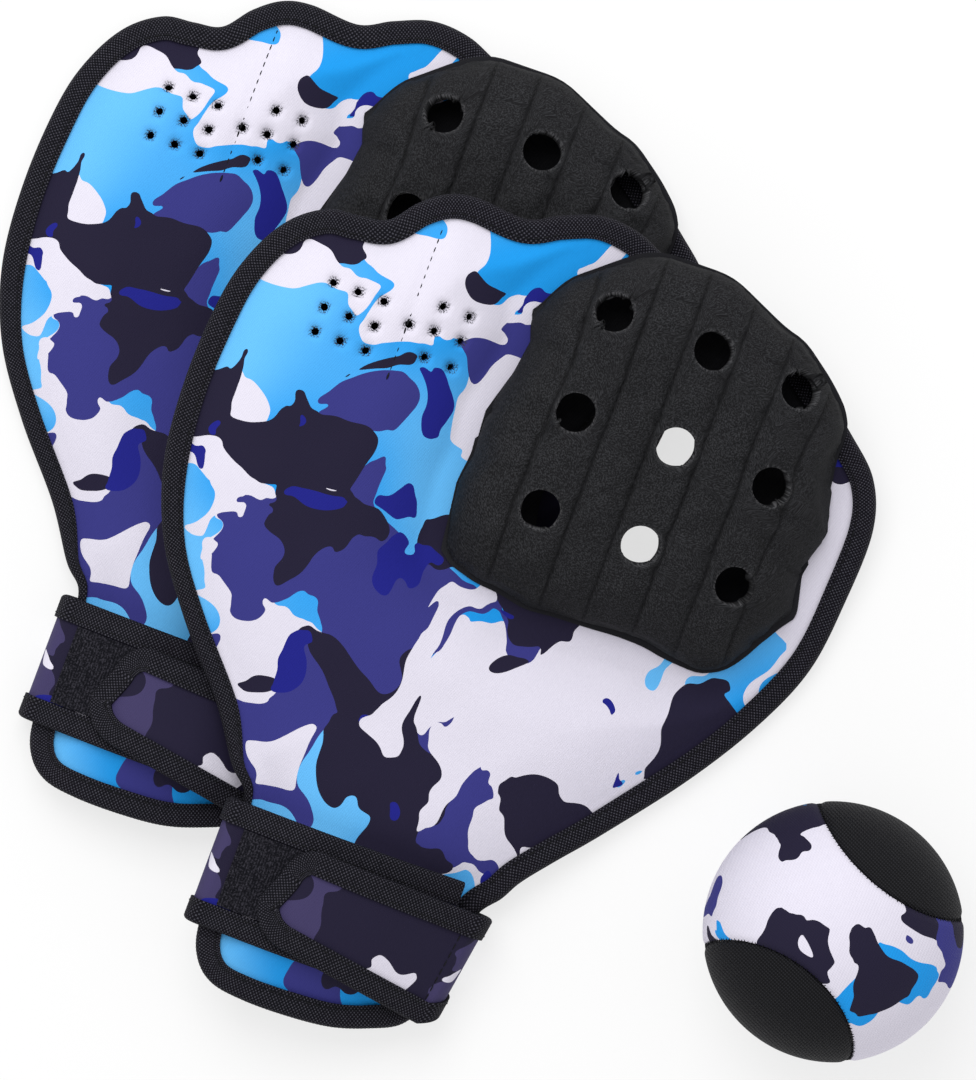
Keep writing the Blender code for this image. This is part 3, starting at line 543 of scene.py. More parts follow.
def printed(place, ink, pitch):
    """Printed jersey: inks, with each thread a little lighter or darker."""
    weave = jersey(place, pitch)
    warm, cool = 0.86 + 0.22 * weave, 0.88 + 0.20 * weave
    shade = place.node("CombineColor", {}, {0: warm, 1: warm, 2: cool})
    toned = place.node("Mix", {"data_type": "RGBA", "blend_type": "MULTIPLY"},
                       {0: 1.0, 6: ink, 7: shade}, 2)
    return toned, weave


def mitt_print(inks, seed):
    """A printed finish in one choice of inks, whose blotches start from one seed."""
    def paint(start):
        place = cloth_place(start)
        colour, weave = printed(place, inks(place, BLOTCH_SIZE, BLOTCH_LOBES, seed), JERSEY_PITCH)
        threads = step_up(noise(place, 0.5 * mm, 4.0, 1.0), 0.42, 0.58)
        colour = mixed(step_up(drawn_on(start, "fray"), 0.55, 0.90) * threads, colour, FRAYED_FOAM)
        return {"Base Color": colour, "Roughness": 0.78 + 0.12 * weave, "Normal": bumped(weave, 0.12 * mm)}
    return paint


printed_neoprene = finish("printed_neoprene", mitt_print(blotches, 3.0), Specular_IOR_Level=0.25)
strap_neoprene = finish("printed_strap_neoprene", mitt_print(dark_blotches, 11.0), Specular_IOR_Level=0.25)
print("printed finishes:", printed_neoprene.name, strap_neoprene.name)

# %% [markdown]
# ## Black neoprene, tape and thread
# The pocket is charcoal rather than black, because its brushed weave catches light in specks.
# The tape is a ribbed petersham: small beads in staggered rows. Thread is plain and waxy.

# %% Black neoprene


def pocket_paint(start):
    """Charcoal jersey: bright and dark specks half a millimetre across, paler where it frays."""
    place = cloth_place(start)
    grain = noise(place, 0.55 * mm, 1.0, 3.0)
    cloud = noise(place, 26 * mm, 2.0, 1.0)
    speck = step_up(grain, 0.40, 0.72) * (0.6 + 0.8 * cloud)
    colour = mixed(speck, (0.0085, 0.0085, 0.0095, 1), (0.038, 0.039, 0.043, 1))
    threads = step_up(noise(place, 0.7 * mm, 5.0, 2.0), 0.45, 0.62)
    colour = mixed(drawn_on(start, "fray") * threads, colour, (0.075, 0.075, 0.08, 1))
    colour = mixed(drawn_on(start, "seam"), colour, (0.002, 0.002, 0.002, 1))
    return {"Base Color": colour, "Roughness": 0.80 + 0.15 * grain, "Normal": bumped(grain, 0.16 * mm)}


def palm_paint(start):
    """Plain black jersey, a little darker than the pocket."""
    place = cloth_place(start)
    weave = jersey(place, 1.1 * mm)
    colour = mixed(weave, (0.007, 0.007, 0.009, 1), (0.022, 0.022, 0.026, 1))
    return {"Base Color": colour, "Roughness": 0.8 + 0.12 * weave, "Normal": bumped(weave, 0.15 * mm)}


pocket_neoprene = finish("pocket_neoprene", pocket_paint, Specular_IOR_Level=0.12)
palm_neoprene = finish("palm_neoprene", palm_paint, Specular_IOR_Level=0.12)
print("made:", pocket_neoprene.name, palm_neoprene.name)

# %% Tape and loop pile


def tape_paint(start):
    """Petersham: beads where sine waves along and across the tape meet, their tops painted paler as a
    highlight that thread noise breaks up.
    """
    place = cloth_place(start)
    along, across = two_ways(place)
    bead = 0.5 + 0.5 * sine(along, TAPE_RIB) * sine(across, TAPE_ROW)
    thread = noise(place, 0.35 * mm, 3.0, 2.0)
    # painted highlight: the colour goes paler towards each bead's top, as if lit there, with thread noise
    # mixed in
    bright = step_up(bead * (0.35 + 1.3 * thread), 0.50, 1.05)
    colour = mixed(bright, (0.0035, 0.0033, 0.0060, 1), (0.070, 0.068, 0.086, 1))
    height = 0.7 * bead + 0.3 * thread
    return {"Base Color": colour, "Roughness": 0.72 + 0.2 * thread, "Normal": bumped(height, 0.22 * mm)}


def pile_paint(start):
    """Loop pile: crowded light and dark specks of fibre."""
    place = cloth_place(start)
    along, _ = two_ways(place)
    rib = 0.5 + 0.5 * sine(along, 1.1 * mm)
    tuft = 0.90 * noise(place, 0.6 * mm, 1.0, 3.0) + 0.10 * rib
    colour = mixed(step_up(tuft, 0.42, 0.75), (0.0035, 0.0035, 0.006, 1), (0.042, 0.040, 0.052, 1))
    return {"Base Color": colour, "Roughness": 0.85 + 0.1 * tuft, "Normal": bumped(tuft, 0.25 * mm)}


petersham = finish("petersham_tape", tape_paint, Specular_IOR_Level=0.12)
loop_pile = finish("loop_pile", pile_paint, Specular_IOR_Level=0.12)
print("made:", petersham.name, loop_pile.name)

# %% Thread and hooks


def thread_paint(start):
    """Twisted thread: a fine slant across each stitch."""
    place = start.node("TexCoord", output=3)
    twist = noise(place, 0.25 * mm, 1.0, 2.0)
    colour = mixed(twist, (0.001, 0.001, 0.0015, 1), (0.006, 0.006, 0.009, 1))
    return {"Base Color": colour, "Roughness": 0.55 + 0.2 * twist}


def hook_paint(start):
    """Moulded nylon with rows of tiny hooks."""
    place = cloth_place(start)
    hook = noise(place, 0.7 * mm, 1.0, 0.5)
    colour = mixed(hook, (0.006, 0.006, 0.008, 1), (0.03, 0.03, 0.034, 1))
    return {"Base Color": colour, "Roughness": 0.35 + 0.3 * hook, "Normal": bumped(hook, 0.5 * mm)}


hook_strip = finish("hook_strip", hook_paint)
dark_thread = finish("dark_thread", thread_paint, Specular_IOR_Level=0.2)
print("made:", hook_strip.name, dark_thread.name)

# %% [markdown]
# ## Stitches
# A row of stitches is one small capsule, copied along a line. The copies are one array sum,
# so a thousand stitches cost no more typing than one.

# %% Rows of stitches
STITCH_SIDES = 6
STITCH_RINGS = np.radians((-78, -40, 0, 40, 78))
UPWARDS = (0.0, 0.0, 1.0)


def stitch_row(name, centres, along, up, length, width, height):
    """Capsules: at angle a round and t along, a point is the centre, plus half the length
    times sin t along, plus half the width times cos t cos a across, plus half the height
    times cos t sin a up."""
    around = np.arange(STITCH_SIDES) * math.tau / STITCH_SIDES
    along = along / np.linalg.norm(along, axis=1)[:, None]
    across = np.cross(up, along)
    across /= np.linalg.norm(across, axis=1)[:, None]
    up = np.cross(along, across)
    lengthwise = (length / 2 * np.sin(STITCH_RINGS))[:, None] * np.ones(STITCH_SIDES)
    sideways = (width / 2 * np.cos(STITCH_RINGS))[:, None] * np.cos(around)
    upwards = (height / 2 * np.cos(STITCH_RINGS))[:, None] * np.sin(around)
    points = (centres[:, None, None] + lengthwise[None, ..., None] * along[:, None, None]
              + sideways[None, ..., None] * across[:, None, None]
              + upwards[None, ..., None] * up[:, None, None])
    corner_i, corner_j = cells(len(STITCH_RINGS), STITCH_SIDES, (False, True), None, True)
    one = corner_i * STITCH_SIDES + corner_j % STITCH_SIDES
    if volume_of(points[0].reshape(-1, 3) - centres[0], one) < 0:
        one = one[:, ::-1]
    corners_each = len(STITCH_RINGS) * STITCH_SIDES
    quads = (one[None] + corners_each * np.arange(len(centres))[:, None, None]).reshape(-1, 4)
    return put_mesh(name, points.reshape(-1, 3), quads, sharp=180)


def stitches_along(path, up, pitch):
    """Middles, directions and upward directions of stitches at an even pitch along a path."""
    lengths = lengths_along(path)
    places = np.arange(pitch / 2, lengths[-1], pitch)
    behind, at, ahead = (at_places(places + k * pitch / 4, lengths, path) for k in (-1, 0, 1))
    return at, ahead - behind, at_places(places, lengths, up)


def sew(name, lines, pitch, size, slot):
    """One piece of stitches along lines, each given with its upward direction or directions."""
    rows = [stitches_along(path, np.broadcast_to(up, path.shape), pitch) for path, up in lines]
    centres, along, rise = (np.concatenate(parts) for parts in zip(*rows))
    return dress(stitch_row(name, centres, along, rise, *size), dark_thread, slot)


print("corners of a stitch:", len(STITCH_RINGS) * STITCH_SIDES)


# %% [markdown]
# ## Heights of the cloth
# The panels are flat at the taped rim, arch over the hand between the rim and the pocket,
# rise over the strap at the cuff, and part at the wrist so that a hand can go in.

# %% Height functions


def cuff_raise(y):
    """How far the cuff stands off the floor on the strap that passes under it."""
    return CUFF_RAISE * smoothstep(1 - (y - 8 * mm) / (40 * mm))


def wrist_gap(x, y):
    """How far the panels part at the wrist, most at the middle of its arch."""
    room = 2 * (HEM_EASE + CLEARANCE + TAPE_THICK) + CLEARANCE
    arch = 8 * mm * np.maximum(1 - (x / (45 * mm)) ** 2, 0)
    return (room + arch) * np.clip((6 * mm - y) / (45 * mm), 0, 1)


def edge_top(x, y):
    """The printed face near the rim."""
    return RIM_TOP + cuff_raise(y) + wrist_gap(x, y)


print("printed face at the wrist, mm:", round(float(edge_top(0.0, -20 * mm)) / mm, 1))

# %% The pocket's foot
POCKET_LOW = [(-8.5, 112), (-7.5, 109.2), (-5, 107.6), (-0.8, 106.7), (5.8, 104.8), (15, 104.2),
              (26.4, 101.8), (34.7, 102.7), (48.4, 103.5), (60, 104.8), (69.4, 104.9), (78.7, 103),
              (91, 101.7), (99.2, 105.8), (107, 117), (110, 124), (113, 133)]
POCKET_HIGH = [(-8.5, 196), (-7, 199.5), (-5, 203.5), (-3.1, 206.6), (0, 212), (7.8, 217.7), (16.2, 224.1),
               (22, 228.4), (29, 231.2), (50.4, 232.6), (56, 231.6), (65, 227.6), (76.6, 222.5),
               (84.4, 220.5), (96, 211), (105, 202), (109, 194), (113, 176)]
POCKET_LEFT, POCKET_RIGHT = -8.5 * mm, 113 * mm


def pocket_span(x):
    """The pocket's lower and upper edge at places across it, the drawn corners rounded off."""
    near = np.clip(x[:, None] + np.linspace(-3, 3, 13) * mm, POCKET_LEFT, POCKET_RIGHT)
    low, high = np.array(POCKET_LOW) * mm, np.array(POCKET_HIGH) * mm
    return tuple(np.interp(near, e[:, 0], e[:, 1]).mean(axis=1) for e in (low, high))


LEFT_SIDE = [(104, 3), (112, 2), (127, 0), (134, -0.8), (144, 0.8), (160, -0.3), (165, 1), (176, 3.8),
             (188, 5.5), (198, 2), (206, 2)]
RIGHT_SIDE = [(104, 0), (118, -2), (126, -0.5), (132, 0.8), (145, -2.2), (153, -0.5), (162, 2.4),
              (170, -0.5), (179, -2.5), (189, -1), (198, 2), (205, 3)]


def uneven_sides(x, y):
    """Places moved as the pocket's two sides wander in and out, and less and less away from them."""
    share = (x - POCKET_LEFT) / (POCKET_RIGHT - POCKET_LEFT)
    left, right = (np.interp(y, *(np.array(side).T * mm)) for side in (LEFT_SIDE, RIGHT_SIDE))
    return x + left * (1 - share) ** 6 + right * share ** 6


foot_x = POCKET_LEFT + (POCKET_RIGHT - POCKET_LEFT) * (1 - np.cos(np.linspace(0, math.pi, 60))) / 2
foot_low, foot_high = pocket_span(foot_x)
side_share = np.linspace(0, 1, 24)[1:-1]
right_y = foot_high[-1] + (foot_low[-1] - foot_high[-1]) * side_share
left_y = foot_low[0] + (foot_high[0] - foot_low[0]) * side_share
foot_y = np.concatenate((foot_high, right_y, foot_low[::-1], left_y))
foot_x = np.concatenate((foot_x, np.full_like(right_y, POCKET_RIGHT), foot_x[::-1],
                         np.full_like(left_y, POCKET_LEFT)))
pocket_foot = np.stack((uneven_sides(foot_x, foot_y), foot_y), axis=1)


print("points round the pocket's foot:", len(pocket_foot))

# %% Crown and palm


def crown(x, y):
    """How far the back arches over the hand: an even quarter round up from rim and pocket."""
    from_pocket = np.where(inside(x, y, pocket_foot), 0, distance_to(x, y, pocket_foot))
    away = np.minimum(distance_to(x, y, edge[::2]), from_pocket)
    return BACK_CROWN * (1 - (1 - np.clip((away - CROWN_START) / CROWN_RUN, 0, 1)) ** 2)


def palm_bottom(x, y):
    """The palm's underside: on the floor, and raised at the taped rim and the cuff."""
    rim = RIM_BOTTOM * (1 - smoothstep((distance_to(x, y, edge[::2]) - TAPE_COVER) / (12 * mm)))
    raised = cuff_raise(y)
    return np.maximum(rim, RIM_BOTTOM * raised / CUFF_RAISE) + raised


print("cuff raised by, mm:", round(CUFF_RAISE / mm, 1))


# %% [markdown]
# ## The panels
# Each panel is a square grid laid over the pattern. Cells outside the outline are left out,
# and the corners left on the border move onto the line, as scissors would cut it. A small
# hole is a block of four cells left out, with its eight corners moved onto a circle.

# %% Cut a panel from a grid
BACK_CELL, PALM_CELL = 2.0 * mm, 3.0 * mm
VENT_RADIUS = 1.35 * mm
LITTLE_FINGER_VENTS = [(x, y) for y in (182.5, 173.5, 164.5) for x in (-74, -65, -55.7)]
INDEX_FINGER_VENTS = [(x, y) for y in (188, 179, 169.5) for x in (-36, -26.3)]
VENTS = np.array(LITTLE_FINGER_VENTS + INDEX_FINGER_VENTS + [(-45, 178.2)]) * mm


def border_corners(keep):
    """Grid corners that touch both a kept cell and a cell that is left out."""
    padded = np.pad(keep, 1)
    touching = np.stack((padded[:-1, :-1], padded[1:, :-1], padded[:-1, 1:], padded[1:, 1:]))
    return touching.any(axis=0) & ~touching.all(axis=0)


def cut_panel(cell, outline, hole=None, vents=None):
    """Grid x and y, the cells that stay, and how near each corner is to a cut vent edge."""
    low, high = outline.min(axis=0) - cell, outline.max(axis=0) + cell
    x, y = np.meshgrid(np.arange(low[0], high[0], cell), np.arange(low[1], high[1], cell), indexing="ij")
    fray = np.zeros_like(x)
    if vents is not None:
        near = np.round((vents - low) / cell).astype(int)
        for (i, j), vent in zip(near, vents):
            shift = vent - (x[i, j], y[i, j])
            part = np.exp(-((x - x[i, j]) ** 2 + (y - y[i, j]) ** 2) / (3.5 * cell) ** 2)
            x, y = x + part * shift[0], y + part * shift[1]
    middle_x, middle_y = (g[:-1, :-1] + g[1:, 1:] for g in (x, y))
    keep = inside(middle_x / 2, middle_y / 2, outline)
    if hole is not None:
        keep &= ~inside(middle_x / 2, middle_y / 2, hole)
    border = border_corners(keep)
    loops = outline if hole is None else np.concatenate((outline, hole))
    moved = nearest_on(x[border], y[border], loops)
    x[border], y[border] = moved[:, 0], moved[:, 1]
    if vents is not None:
        for (i, j), vent in zip(near, vents):
            keep[i - 1:i + 1, j - 1:j + 1] = False
            block = (slice(i - 1, i + 2), slice(j - 1, j + 2))
            away = np.hypot(x[block] - vent[0], y[block] - vent[1])
            scale = np.where(away > 0.1 * mm, VENT_RADIUS / np.maximum(away, 0.1 * mm), 1)
            x[block] = vent[0] + (x[block] - vent[0]) * scale
            y[block] = vent[1] + (y[block] - vent[1]) * scale
            from_rim = np.hypot(x - vent[0], y - vent[1]) - VENT_RADIUS
            fray = np.maximum(fray, np.exp(-(from_rim / (0.5 * mm)) ** 2))
    return x, y, keep, fray


print("vents:", len(VENTS))

# %% Areas and loops


def grid_area(x, y, keep):
    """Flat area of the kept cells, half the cross product of each one's diagonals."""
    first = np.stack((x[1:, 1:] - x[:-1, :-1], y[1:, 1:] - y[:-1, :-1]))
    second = np.stack((x[:-1, 1:] - x[1:, :-1], y[:-1, 1:] - y[1:, :-1]))
    return float(np.abs(first[0] * second[1] - first[1] * second[0])[keep].sum() / 2)


def fine_loop(loop):
    """The same loop with a corner every half millimetre."""
    return evenly(np.vstack((loop, loop[:1])), 0.5 * mm)[0][:-1]


def ellipse(middle, width, length, turn):
    """A closed ellipse in plan."""
    angle = -np.arange(240) * math.tau / 240
    x, y = width / 2 * np.cos(angle), length / 2 * np.sin(angle)
    return np.stack((middle[0] + math.cos(turn) * x - math.sin(turn) * y,
                     middle[1] + math.sin(turn) * x + math.cos(turn) * y), axis=1)


unit_square = np.meshgrid((0, mm), (0, mm))
print("area of a unit square, mm2:", round(grid_area(*unit_square, np.ones((1, 1), bool)) / mm ** 2))

# %% Cut the back panel
PANEL_INSET = 2.2 * mm
panel_outline = fine_loop(inset(edge, PANEL_INSET))
opening = fine_loop(inset(pocket_foot, 10 * mm))
back_x, back_y, back_keep, back_fray = cut_panel(BACK_CELL, panel_outline, opening, VENTS)
back_area = grid_area(back_x, back_y, back_keep)
print("back panel cells:", int(back_keep.sum()), "area, cm2:", round(back_area * 1e4))

# %% [markdown]
# The print is sewn in a dart at the middle finger, and the cloth dips at the dart and at each
# vent. A few long, low waves stand in for how soft foam never lies dead flat.

# %% Back panels
DART_X = -45.6 * mm
DART_LOW, DART_HIGH = 157.5 * mm, 216 * mm


def back_top(x, y):
    """The printed face: rim, cuff and wrist, plus the crown, less the dips at dart and vents."""
    arch = crown(x, y)
    soft = arch / BACK_CROWN
    dart = np.exp(-((x - DART_X) / (1.3 * mm)) ** 2) * smoothstep((y - DART_LOW) / (6 * mm))
    dart = dart * (y < DART_HIGH + 8 * mm)
    waves = 0.5 * mm * ripple(x, y, 62 * mm, 0.4) + 0.22 * mm * ripple(x, y, 21 * mm, 1.9)
    vents = sum(np.exp(-((x - v[0]) ** 2 + (y - v[1]) ** 2) / (2.6 * mm) ** 2) for v in VENTS)
    return edge_top(x, y) + arch + soft * (waves - 0.45 * mm * vents) - 0.7 * mm * dart


back_height = back_top(back_x, back_y)
back_uv = np.stack((back_x, back_y), axis=-1)


def walled(piece, thickness):
    """Gives an open sheet its thickness, on the side away from its face."""
    wall = piece.modifiers.new("thickness", "SOLIDIFY")
    wall.thickness = thickness
    wall.offset = -1
    wall.use_even_offset = False
    return piece


for mitt in MITTS:
    points = laid(np.stack((back_x, back_y, back_height), axis=-1), mitt)
    back = grid_piece(f"{mitt}_back_cloth", points, back_uv, keep=back_keep, values={"fray": back_fray})
    dress(walled(back, PANEL_THICK), printed_neoprene, "printed_neoprene", f"{mitt}_back_panel")
print("back panels made, highest at", round(float(back_height.max()) / mm, 1), "mm")

# %% [markdown]
# ## The palms
# Under each mitt is a plain panel. Its oval mouth lets the palm of the hand reach into the
# pocket, and it is why the floor shows through two of the pocket's holes.

# %% Palm panels
MOUTH_AT, MOUTH_WIDTH, MOUTH_LENGTH, MOUTH_TURN = (50 * mm, 150 * mm), 62 * mm, 90 * mm, math.radians(-12)
mouth = ellipse(MOUTH_AT, MOUTH_WIDTH, MOUTH_LENGTH, MOUTH_TURN)
palm_x, palm_y, palm_keep, _ = cut_panel(PALM_CELL, panel_outline, mouth)
palm_height = palm_bottom(palm_x, palm_y) + PANEL_THICK
palm_area = grid_area(palm_x, palm_y, palm_keep)
for mitt in MITTS:
    points = laid(np.stack((palm_x, palm_y, palm_height), axis=-1), mitt)
    palm = grid_piece(f"{mitt}_palm_cloth", points, np.stack((palm_x, palm_y), axis=-1), keep=palm_keep)
    dress(walled(palm, PANEL_THICK), palm_neoprene, "black_neoprene", f"{mitt}_palm_panel")
print("palm area, cm2:", round(palm_area * 1e4))

# %% [markdown]
# ## The edge tape
# A tape is folded over a raw edge and sewn through all layers. Its section is a U: a leg on
# top, a round fold, and a leg below. Carrying that section along the outline gives the whole
# tape, and beads of the petersham weave stand out of its face.

# %% Carry a folded section along an edge
BEAD_HEIGHT = 0.09 * mm


def folded_section(half_height, fold, cover):
    """The U of a tape: distance in from the edge, height, and distance along the cloth.

    The legs lie at plus and minus the half height. The fold is half an ellipse: in from the
    edge by fold times 1 - cos a, and up by the half height times sin a.
    """
    upper_leg, lower_leg = np.linspace(cover, fold, 11)[:-1], np.linspace(fold, cover, 4)[1:]
    angle = np.radians(np.linspace(90, -90, 9))
    inward = np.concatenate((upper_leg, fold * (1 - np.cos(angle)), lower_leg))
    height = np.concatenate((np.full_like(upper_leg, half_height), half_height * np.sin(angle),
                             np.full_like(lower_leg, -half_height)))
    return inward, height, lengths_along(np.stack((inward, height), axis=1))


def tape_grid(count, filling, fold, cover, distance, thick=TAPE_THICK):
    """Ring places of a tape, out over its face and back inside, with the weave's beads on it."""
    half = filling / 2 + CLEARANCE + thick
    inward, height, along = folded_section(half, fold, cover)
    inner, inner_height, _ = folded_section(half - thick, fold - thick, cover - thick)
    out_x, out_z = -np.gradient(height), np.gradient(inward)
    size = np.hypot(out_x, out_z)
    out_x, out_z = -out_x / size, -out_z / size
    beads = np.sin(distance[:, None] * math.tau / TAPE_RIB) * np.sin(along[None] * math.tau / TAPE_ROW)
    bead = BEAD_HEIGHT * beads
    face_x = inward[None] + bead * out_x[None]
    face_z = height[None] + bead * out_z[None]
    ones = np.ones((count, 1))
    some = np.arange(0, len(inner), 3)[::-1]
    ring_x = np.concatenate((face_x, ones * (inner[some] + thick)[None]), axis=1)
    ring_z = np.concatenate((face_z, ones * inner_height[some][None]), axis=1)
    ring_v = np.concatenate((along, along[some], along[:1]))
    return ring_x, ring_z, ring_v


def tape_uv(distance, ring_v):
    """Cloth coordinates of a tape: along it, and across its section."""
    u, v = np.meshgrid(distance, ring_v, indexing="ij")
    return np.stack((u, v), axis=-1)


print("corners round a section:", tape_grid(2, 0, 3 * mm, TAPE_COVER, np.zeros(2))[0].shape[1])

# %% Carry the section along the outline


def outline_part(first, last, before=0, after=0):
    """The outline from one of its controls to another, with a few more steps at either end."""
    count = (last - first) % len(OUTLINE) * CURVE_STEPS + 1 + before + after
    return edge[(first * CURVE_STEPS - before + np.arange(count)) % len(edge)]


def rolled_under(y):
    """How much of the tape's upper leg still shows on the finger side, where the edge rolls
    under as it nears the wrist."""
    near_palm = 0.75 + 0.25 * smoothstep((y - 60 * mm) / (60 * mm))
    return near_palm * (0.03 + 0.97 * smoothstep((y - 3 * mm) / (30 * mm)))


def rim_tape(part, level, filling, fold, wobble, seed):
    """A tape folded round part of the outline at a level, its cut edge a little uneven."""
    path, distance = evenly(outline_part(*part), TAPE_STEP)
    inward = inward_of(path, 12)
    ring_x, ring_z, ring_v = tape_grid(len(path), filling, fold, TAPE_COVER, distance)
    if part[0] == 0:
        shown = np.where((ring_z > 0) & (ring_x > fold), rolled_under(path[:, 1])[:, None], 1)
        ring_x = np.where(shown < 1, fold + (ring_x - fold) * shown, ring_x)
    uneven = wobble * (np.sin(distance / (9 * mm) + seed) + 0.6 * np.sin(distance / (23 * mm) + 2 * seed))
    ring_x = ring_x * (1 + uneven[:, None] * np.clip(ring_x / TAPE_COVER - 0.5, 0, 1))
    plan = path[:, None] + ring_x[..., None] * inward[:, None]
    z = level(plan[..., 0], plan[..., 1]) + ring_z
    return np.concatenate((plan, z[..., None]), axis=-1), tape_uv(distance, ring_v)


def seam_on(part, level, half_height, fold, side):
    """The line of stitches on a tape's leg, 1.7 mm from its cut edge."""
    path, _ = evenly(outline_part(*part), 0.5 * mm)
    shown = rolled_under(path[:, 1]) if part[0] == 0 and side > 0 else np.ones(len(path))
    path, shown = path[shown > 0.3], shown[shown > 0.3]
    inner = path + inward_of(path) * (fold + (TAPE_COVER - 1.7 * mm - fold) * shown)[:, None]
    z = level(inner[:, 0], inner[:, 1]) + side * (half_height + 0.12 * mm)
    return np.column_stack((inner, z))


def rim_middle(x, y):
    """Half way up the two panels at the rim."""
    return (RIM_BOTTOM + RIM_TOP) / 2 + cuff_raise(y)


def back_middle(x, y):
    """Half way up the back panel at its hem."""
    return edge_top(x, y) - PANEL_THICK / 2


def palm_middle(x, y):
    """Half way up the palm panel at its hem."""
    return palm_bottom(x, y) + PANEL_THICK / 2


print("steps along the finger side's tape:", len(evenly(outline_part(0, TAPES_MEET), TAPE_STEP)[0]))

# %% Rim and hem tapes
RIM_FILLING = RIM_TOP - RIM_BOTTOM
HEM_FILLING = PANEL_THICK + 2 * HEM_EASE
TAPE_WANDER = 0.035
TAPES = {
    "finger_binding": ((0, TAPES_MEET, 9), rim_middle, RIM_FILLING, 3.0 * mm, 0.5),
    "thumb_binding": ((TAPES_MEET, THUMB_TAPE_END, 0, 14), rim_middle, RIM_FILLING, 3.0 * mm, 1.7),
    "back_hem_binding": ((HEM_START, HEM_END, 8, 12), back_middle, HEM_FILLING, 2.0 * mm, 2.6),
    "palm_hem_binding": ((HEM_START, HEM_END), palm_middle, HEM_FILLING, 2.0 * mm, 3.9),
}
for mitt in MITTS:
    for name, (part, level, filling, fold, seed) in TAPES.items():
        points, uv = rim_tape(part, level, filling, fold, TAPE_WANDER, seed)
        tape = grid_piece(f"{mitt}_{name}_cloth", laid(points, mitt), uv, closed=(False, True), caps=True)
        dress(tape, petersham, "edge_tape", f"{mitt}_{name}")
        half = filling / 2 + CLEARANCE + TAPE_THICK
        seams = [(laid(seam_on(part, level, half, fold, side), mitt), (0, 0, side)) for side in (1.0, -1.0)]
        sew(f"{mitt}_{name}_stitches", seams, 3.4 * mm, (2.7 * mm, 0.55 * mm, 0.4 * mm), "edge_tape")
print("tapes on each mitt:", len(TAPES))

# %% [markdown]
# ## The catching pocket
# The pocket is a second skin sewn up into a dome, stitched into seven channels and punched
# with nine holes, so that water runs out and a ball beds in. It is a grid over a rounded
# box: steep at its walls, flat on top, with a valley at every row of stitches.

# %% Pocket grid
ROWS = 160
PER_CHANNEL = 20
POCKET_SEAMS = np.array((10, 30.3, 46.3, 64.2, 80.4, 98)) * mm
HOLE_RADIUS = 6.8 * mm
HOLES = np.array([(19.4, 206.6), (19.1, 169.8), (19.4, 134.5), (56, 206.3), (55.5, 170.8), (56, 135),
                  (89, 204.6), (91.3, 169.7), (91.5, 133.2)]) * mm
SEAM_DEPTH = 1.5 * mm
CHANNEL_SWELL = 0.8 * mm
POCKET_GAP = 0.5 * mm

channel_edges = np.concatenate(((POCKET_LEFT,), POCKET_SEAMS, (POCKET_RIGHT,)))
local = np.linspace(0, 1, PER_CHANNEL + 1)[:-1]
easing = [1 - np.cos(local * math.pi / 2)] + [local] * 5 + [np.sin(local * math.pi / 2)]
channels = [a + (b - a) * e for a, b, e in zip(channel_edges, channel_edges[1:], easing)]
pocket_across = np.concatenate(channels + [(POCKET_RIGHT,)])
in_channel = np.append(np.concatenate(easing), 1.0)
pocket_t = (1 - np.cos(np.linspace(0, math.pi, ROWS))) / 2
in_middle = (pocket_across > POCKET_SEAMS[0] - 1 * mm) & (pocket_across < POCKET_SEAMS[-1] + 1 * mm)
seam_away = np.abs(pocket_across[:, None] - POCKET_SEAMS).min(axis=1)
print("places across the pocket:", len(pocket_across))

# %% The pocket's face


def hole_distance(x, y):
    """Distance in plan to the middle of the nearest hole."""
    return np.hypot(x[..., None] - HOLES[:, 0], y[..., None] - HOLES[:, 1]).min(axis=-1)


def over_tape(y):
    """How much higher the pocket's upper part sits, where the edge tape runs under it."""
    return (CLEARANCE + TAPE_THICK) * smoothstep((y - 160 * mm) / (18 * mm))


def pocket_face():
    """The dome: seat plus height times sqrt(1 - u^4) sqrt(1 - v^4), with foam swelling between
    the seams, a valley at each one, and folds where the cloth turns down into the walls."""
    share = (pocket_across - POCKET_LEFT) / (POCKET_RIGHT - POCKET_LEFT)
    low, high = pocket_span(pocket_across)
    y = low[:, None] + pocket_t[None] * (high - low)[:, None]
    x = np.repeat(pocket_across[:, None], ROWS, axis=1)
    rise_across = np.sqrt(np.maximum(1 - np.abs(2 * share - 1) ** 4, 0))
    rise = rise_across[:, None] * np.sqrt(1 - np.abs(2 * pocket_t - 1) ** 4)
    x = uneven_sides(x, y)
    seat = RIM_TOP + POCKET_GAP + over_tape(y)
    swell = CHANNEL_SWELL * np.sin(math.pi * in_channel) ** 0.7 * in_middle
    wide, narrow = (np.exp(-(seam_away / width) ** 2) for width in (1.9 * mm, 0.7 * mm))
    valley = SEAM_DEPTH * (0.6 * wide + 0.4 * narrow)
    wall = np.exp(-((rise - 0.72) / 0.20) ** 2)
    bearing = np.arctan2(y - 165 * mm, x - 53 * mm)
    folds = np.sin(17 * bearing + 2 * np.sin(3 * bearing)) + 0.6 * np.sin(29 * bearing + 1.3)
    soft = 0.5 * ripple(x, y, 30 * mm, 3.3) + 0.35 * ripple(x, y, 13 * mm, 5.1)
    upper = smoothstep((np.sin(bearing - 0.15) + 0.15) / 0.5)
    ridge, groove = np.exp(-((rise - 0.90) / 0.030) ** 2), np.exp(-((rise - 0.80) / 0.05) ** 2)
    crease = 0.9 * upper * (ridge - 1.2 * groove)
    cloth = (soft * smoothstep((rise - 0.3) / 0.4) + 0.6 * folds * wall + crease) * mm
    lift = (swell - valley)[:, None] * rise + cloth
    lift = lift * smoothstep((hole_distance(x, y) - HOLE_RADIUS - 0.3 * mm) / (3.5 * mm))
    return x, y, seat + POCKET_HEIGHT * rise + lift, rise


pocket_x, pocket_y, pocket_z, pocket_rise = pocket_face()
print("pocket grid:", pocket_x.shape)

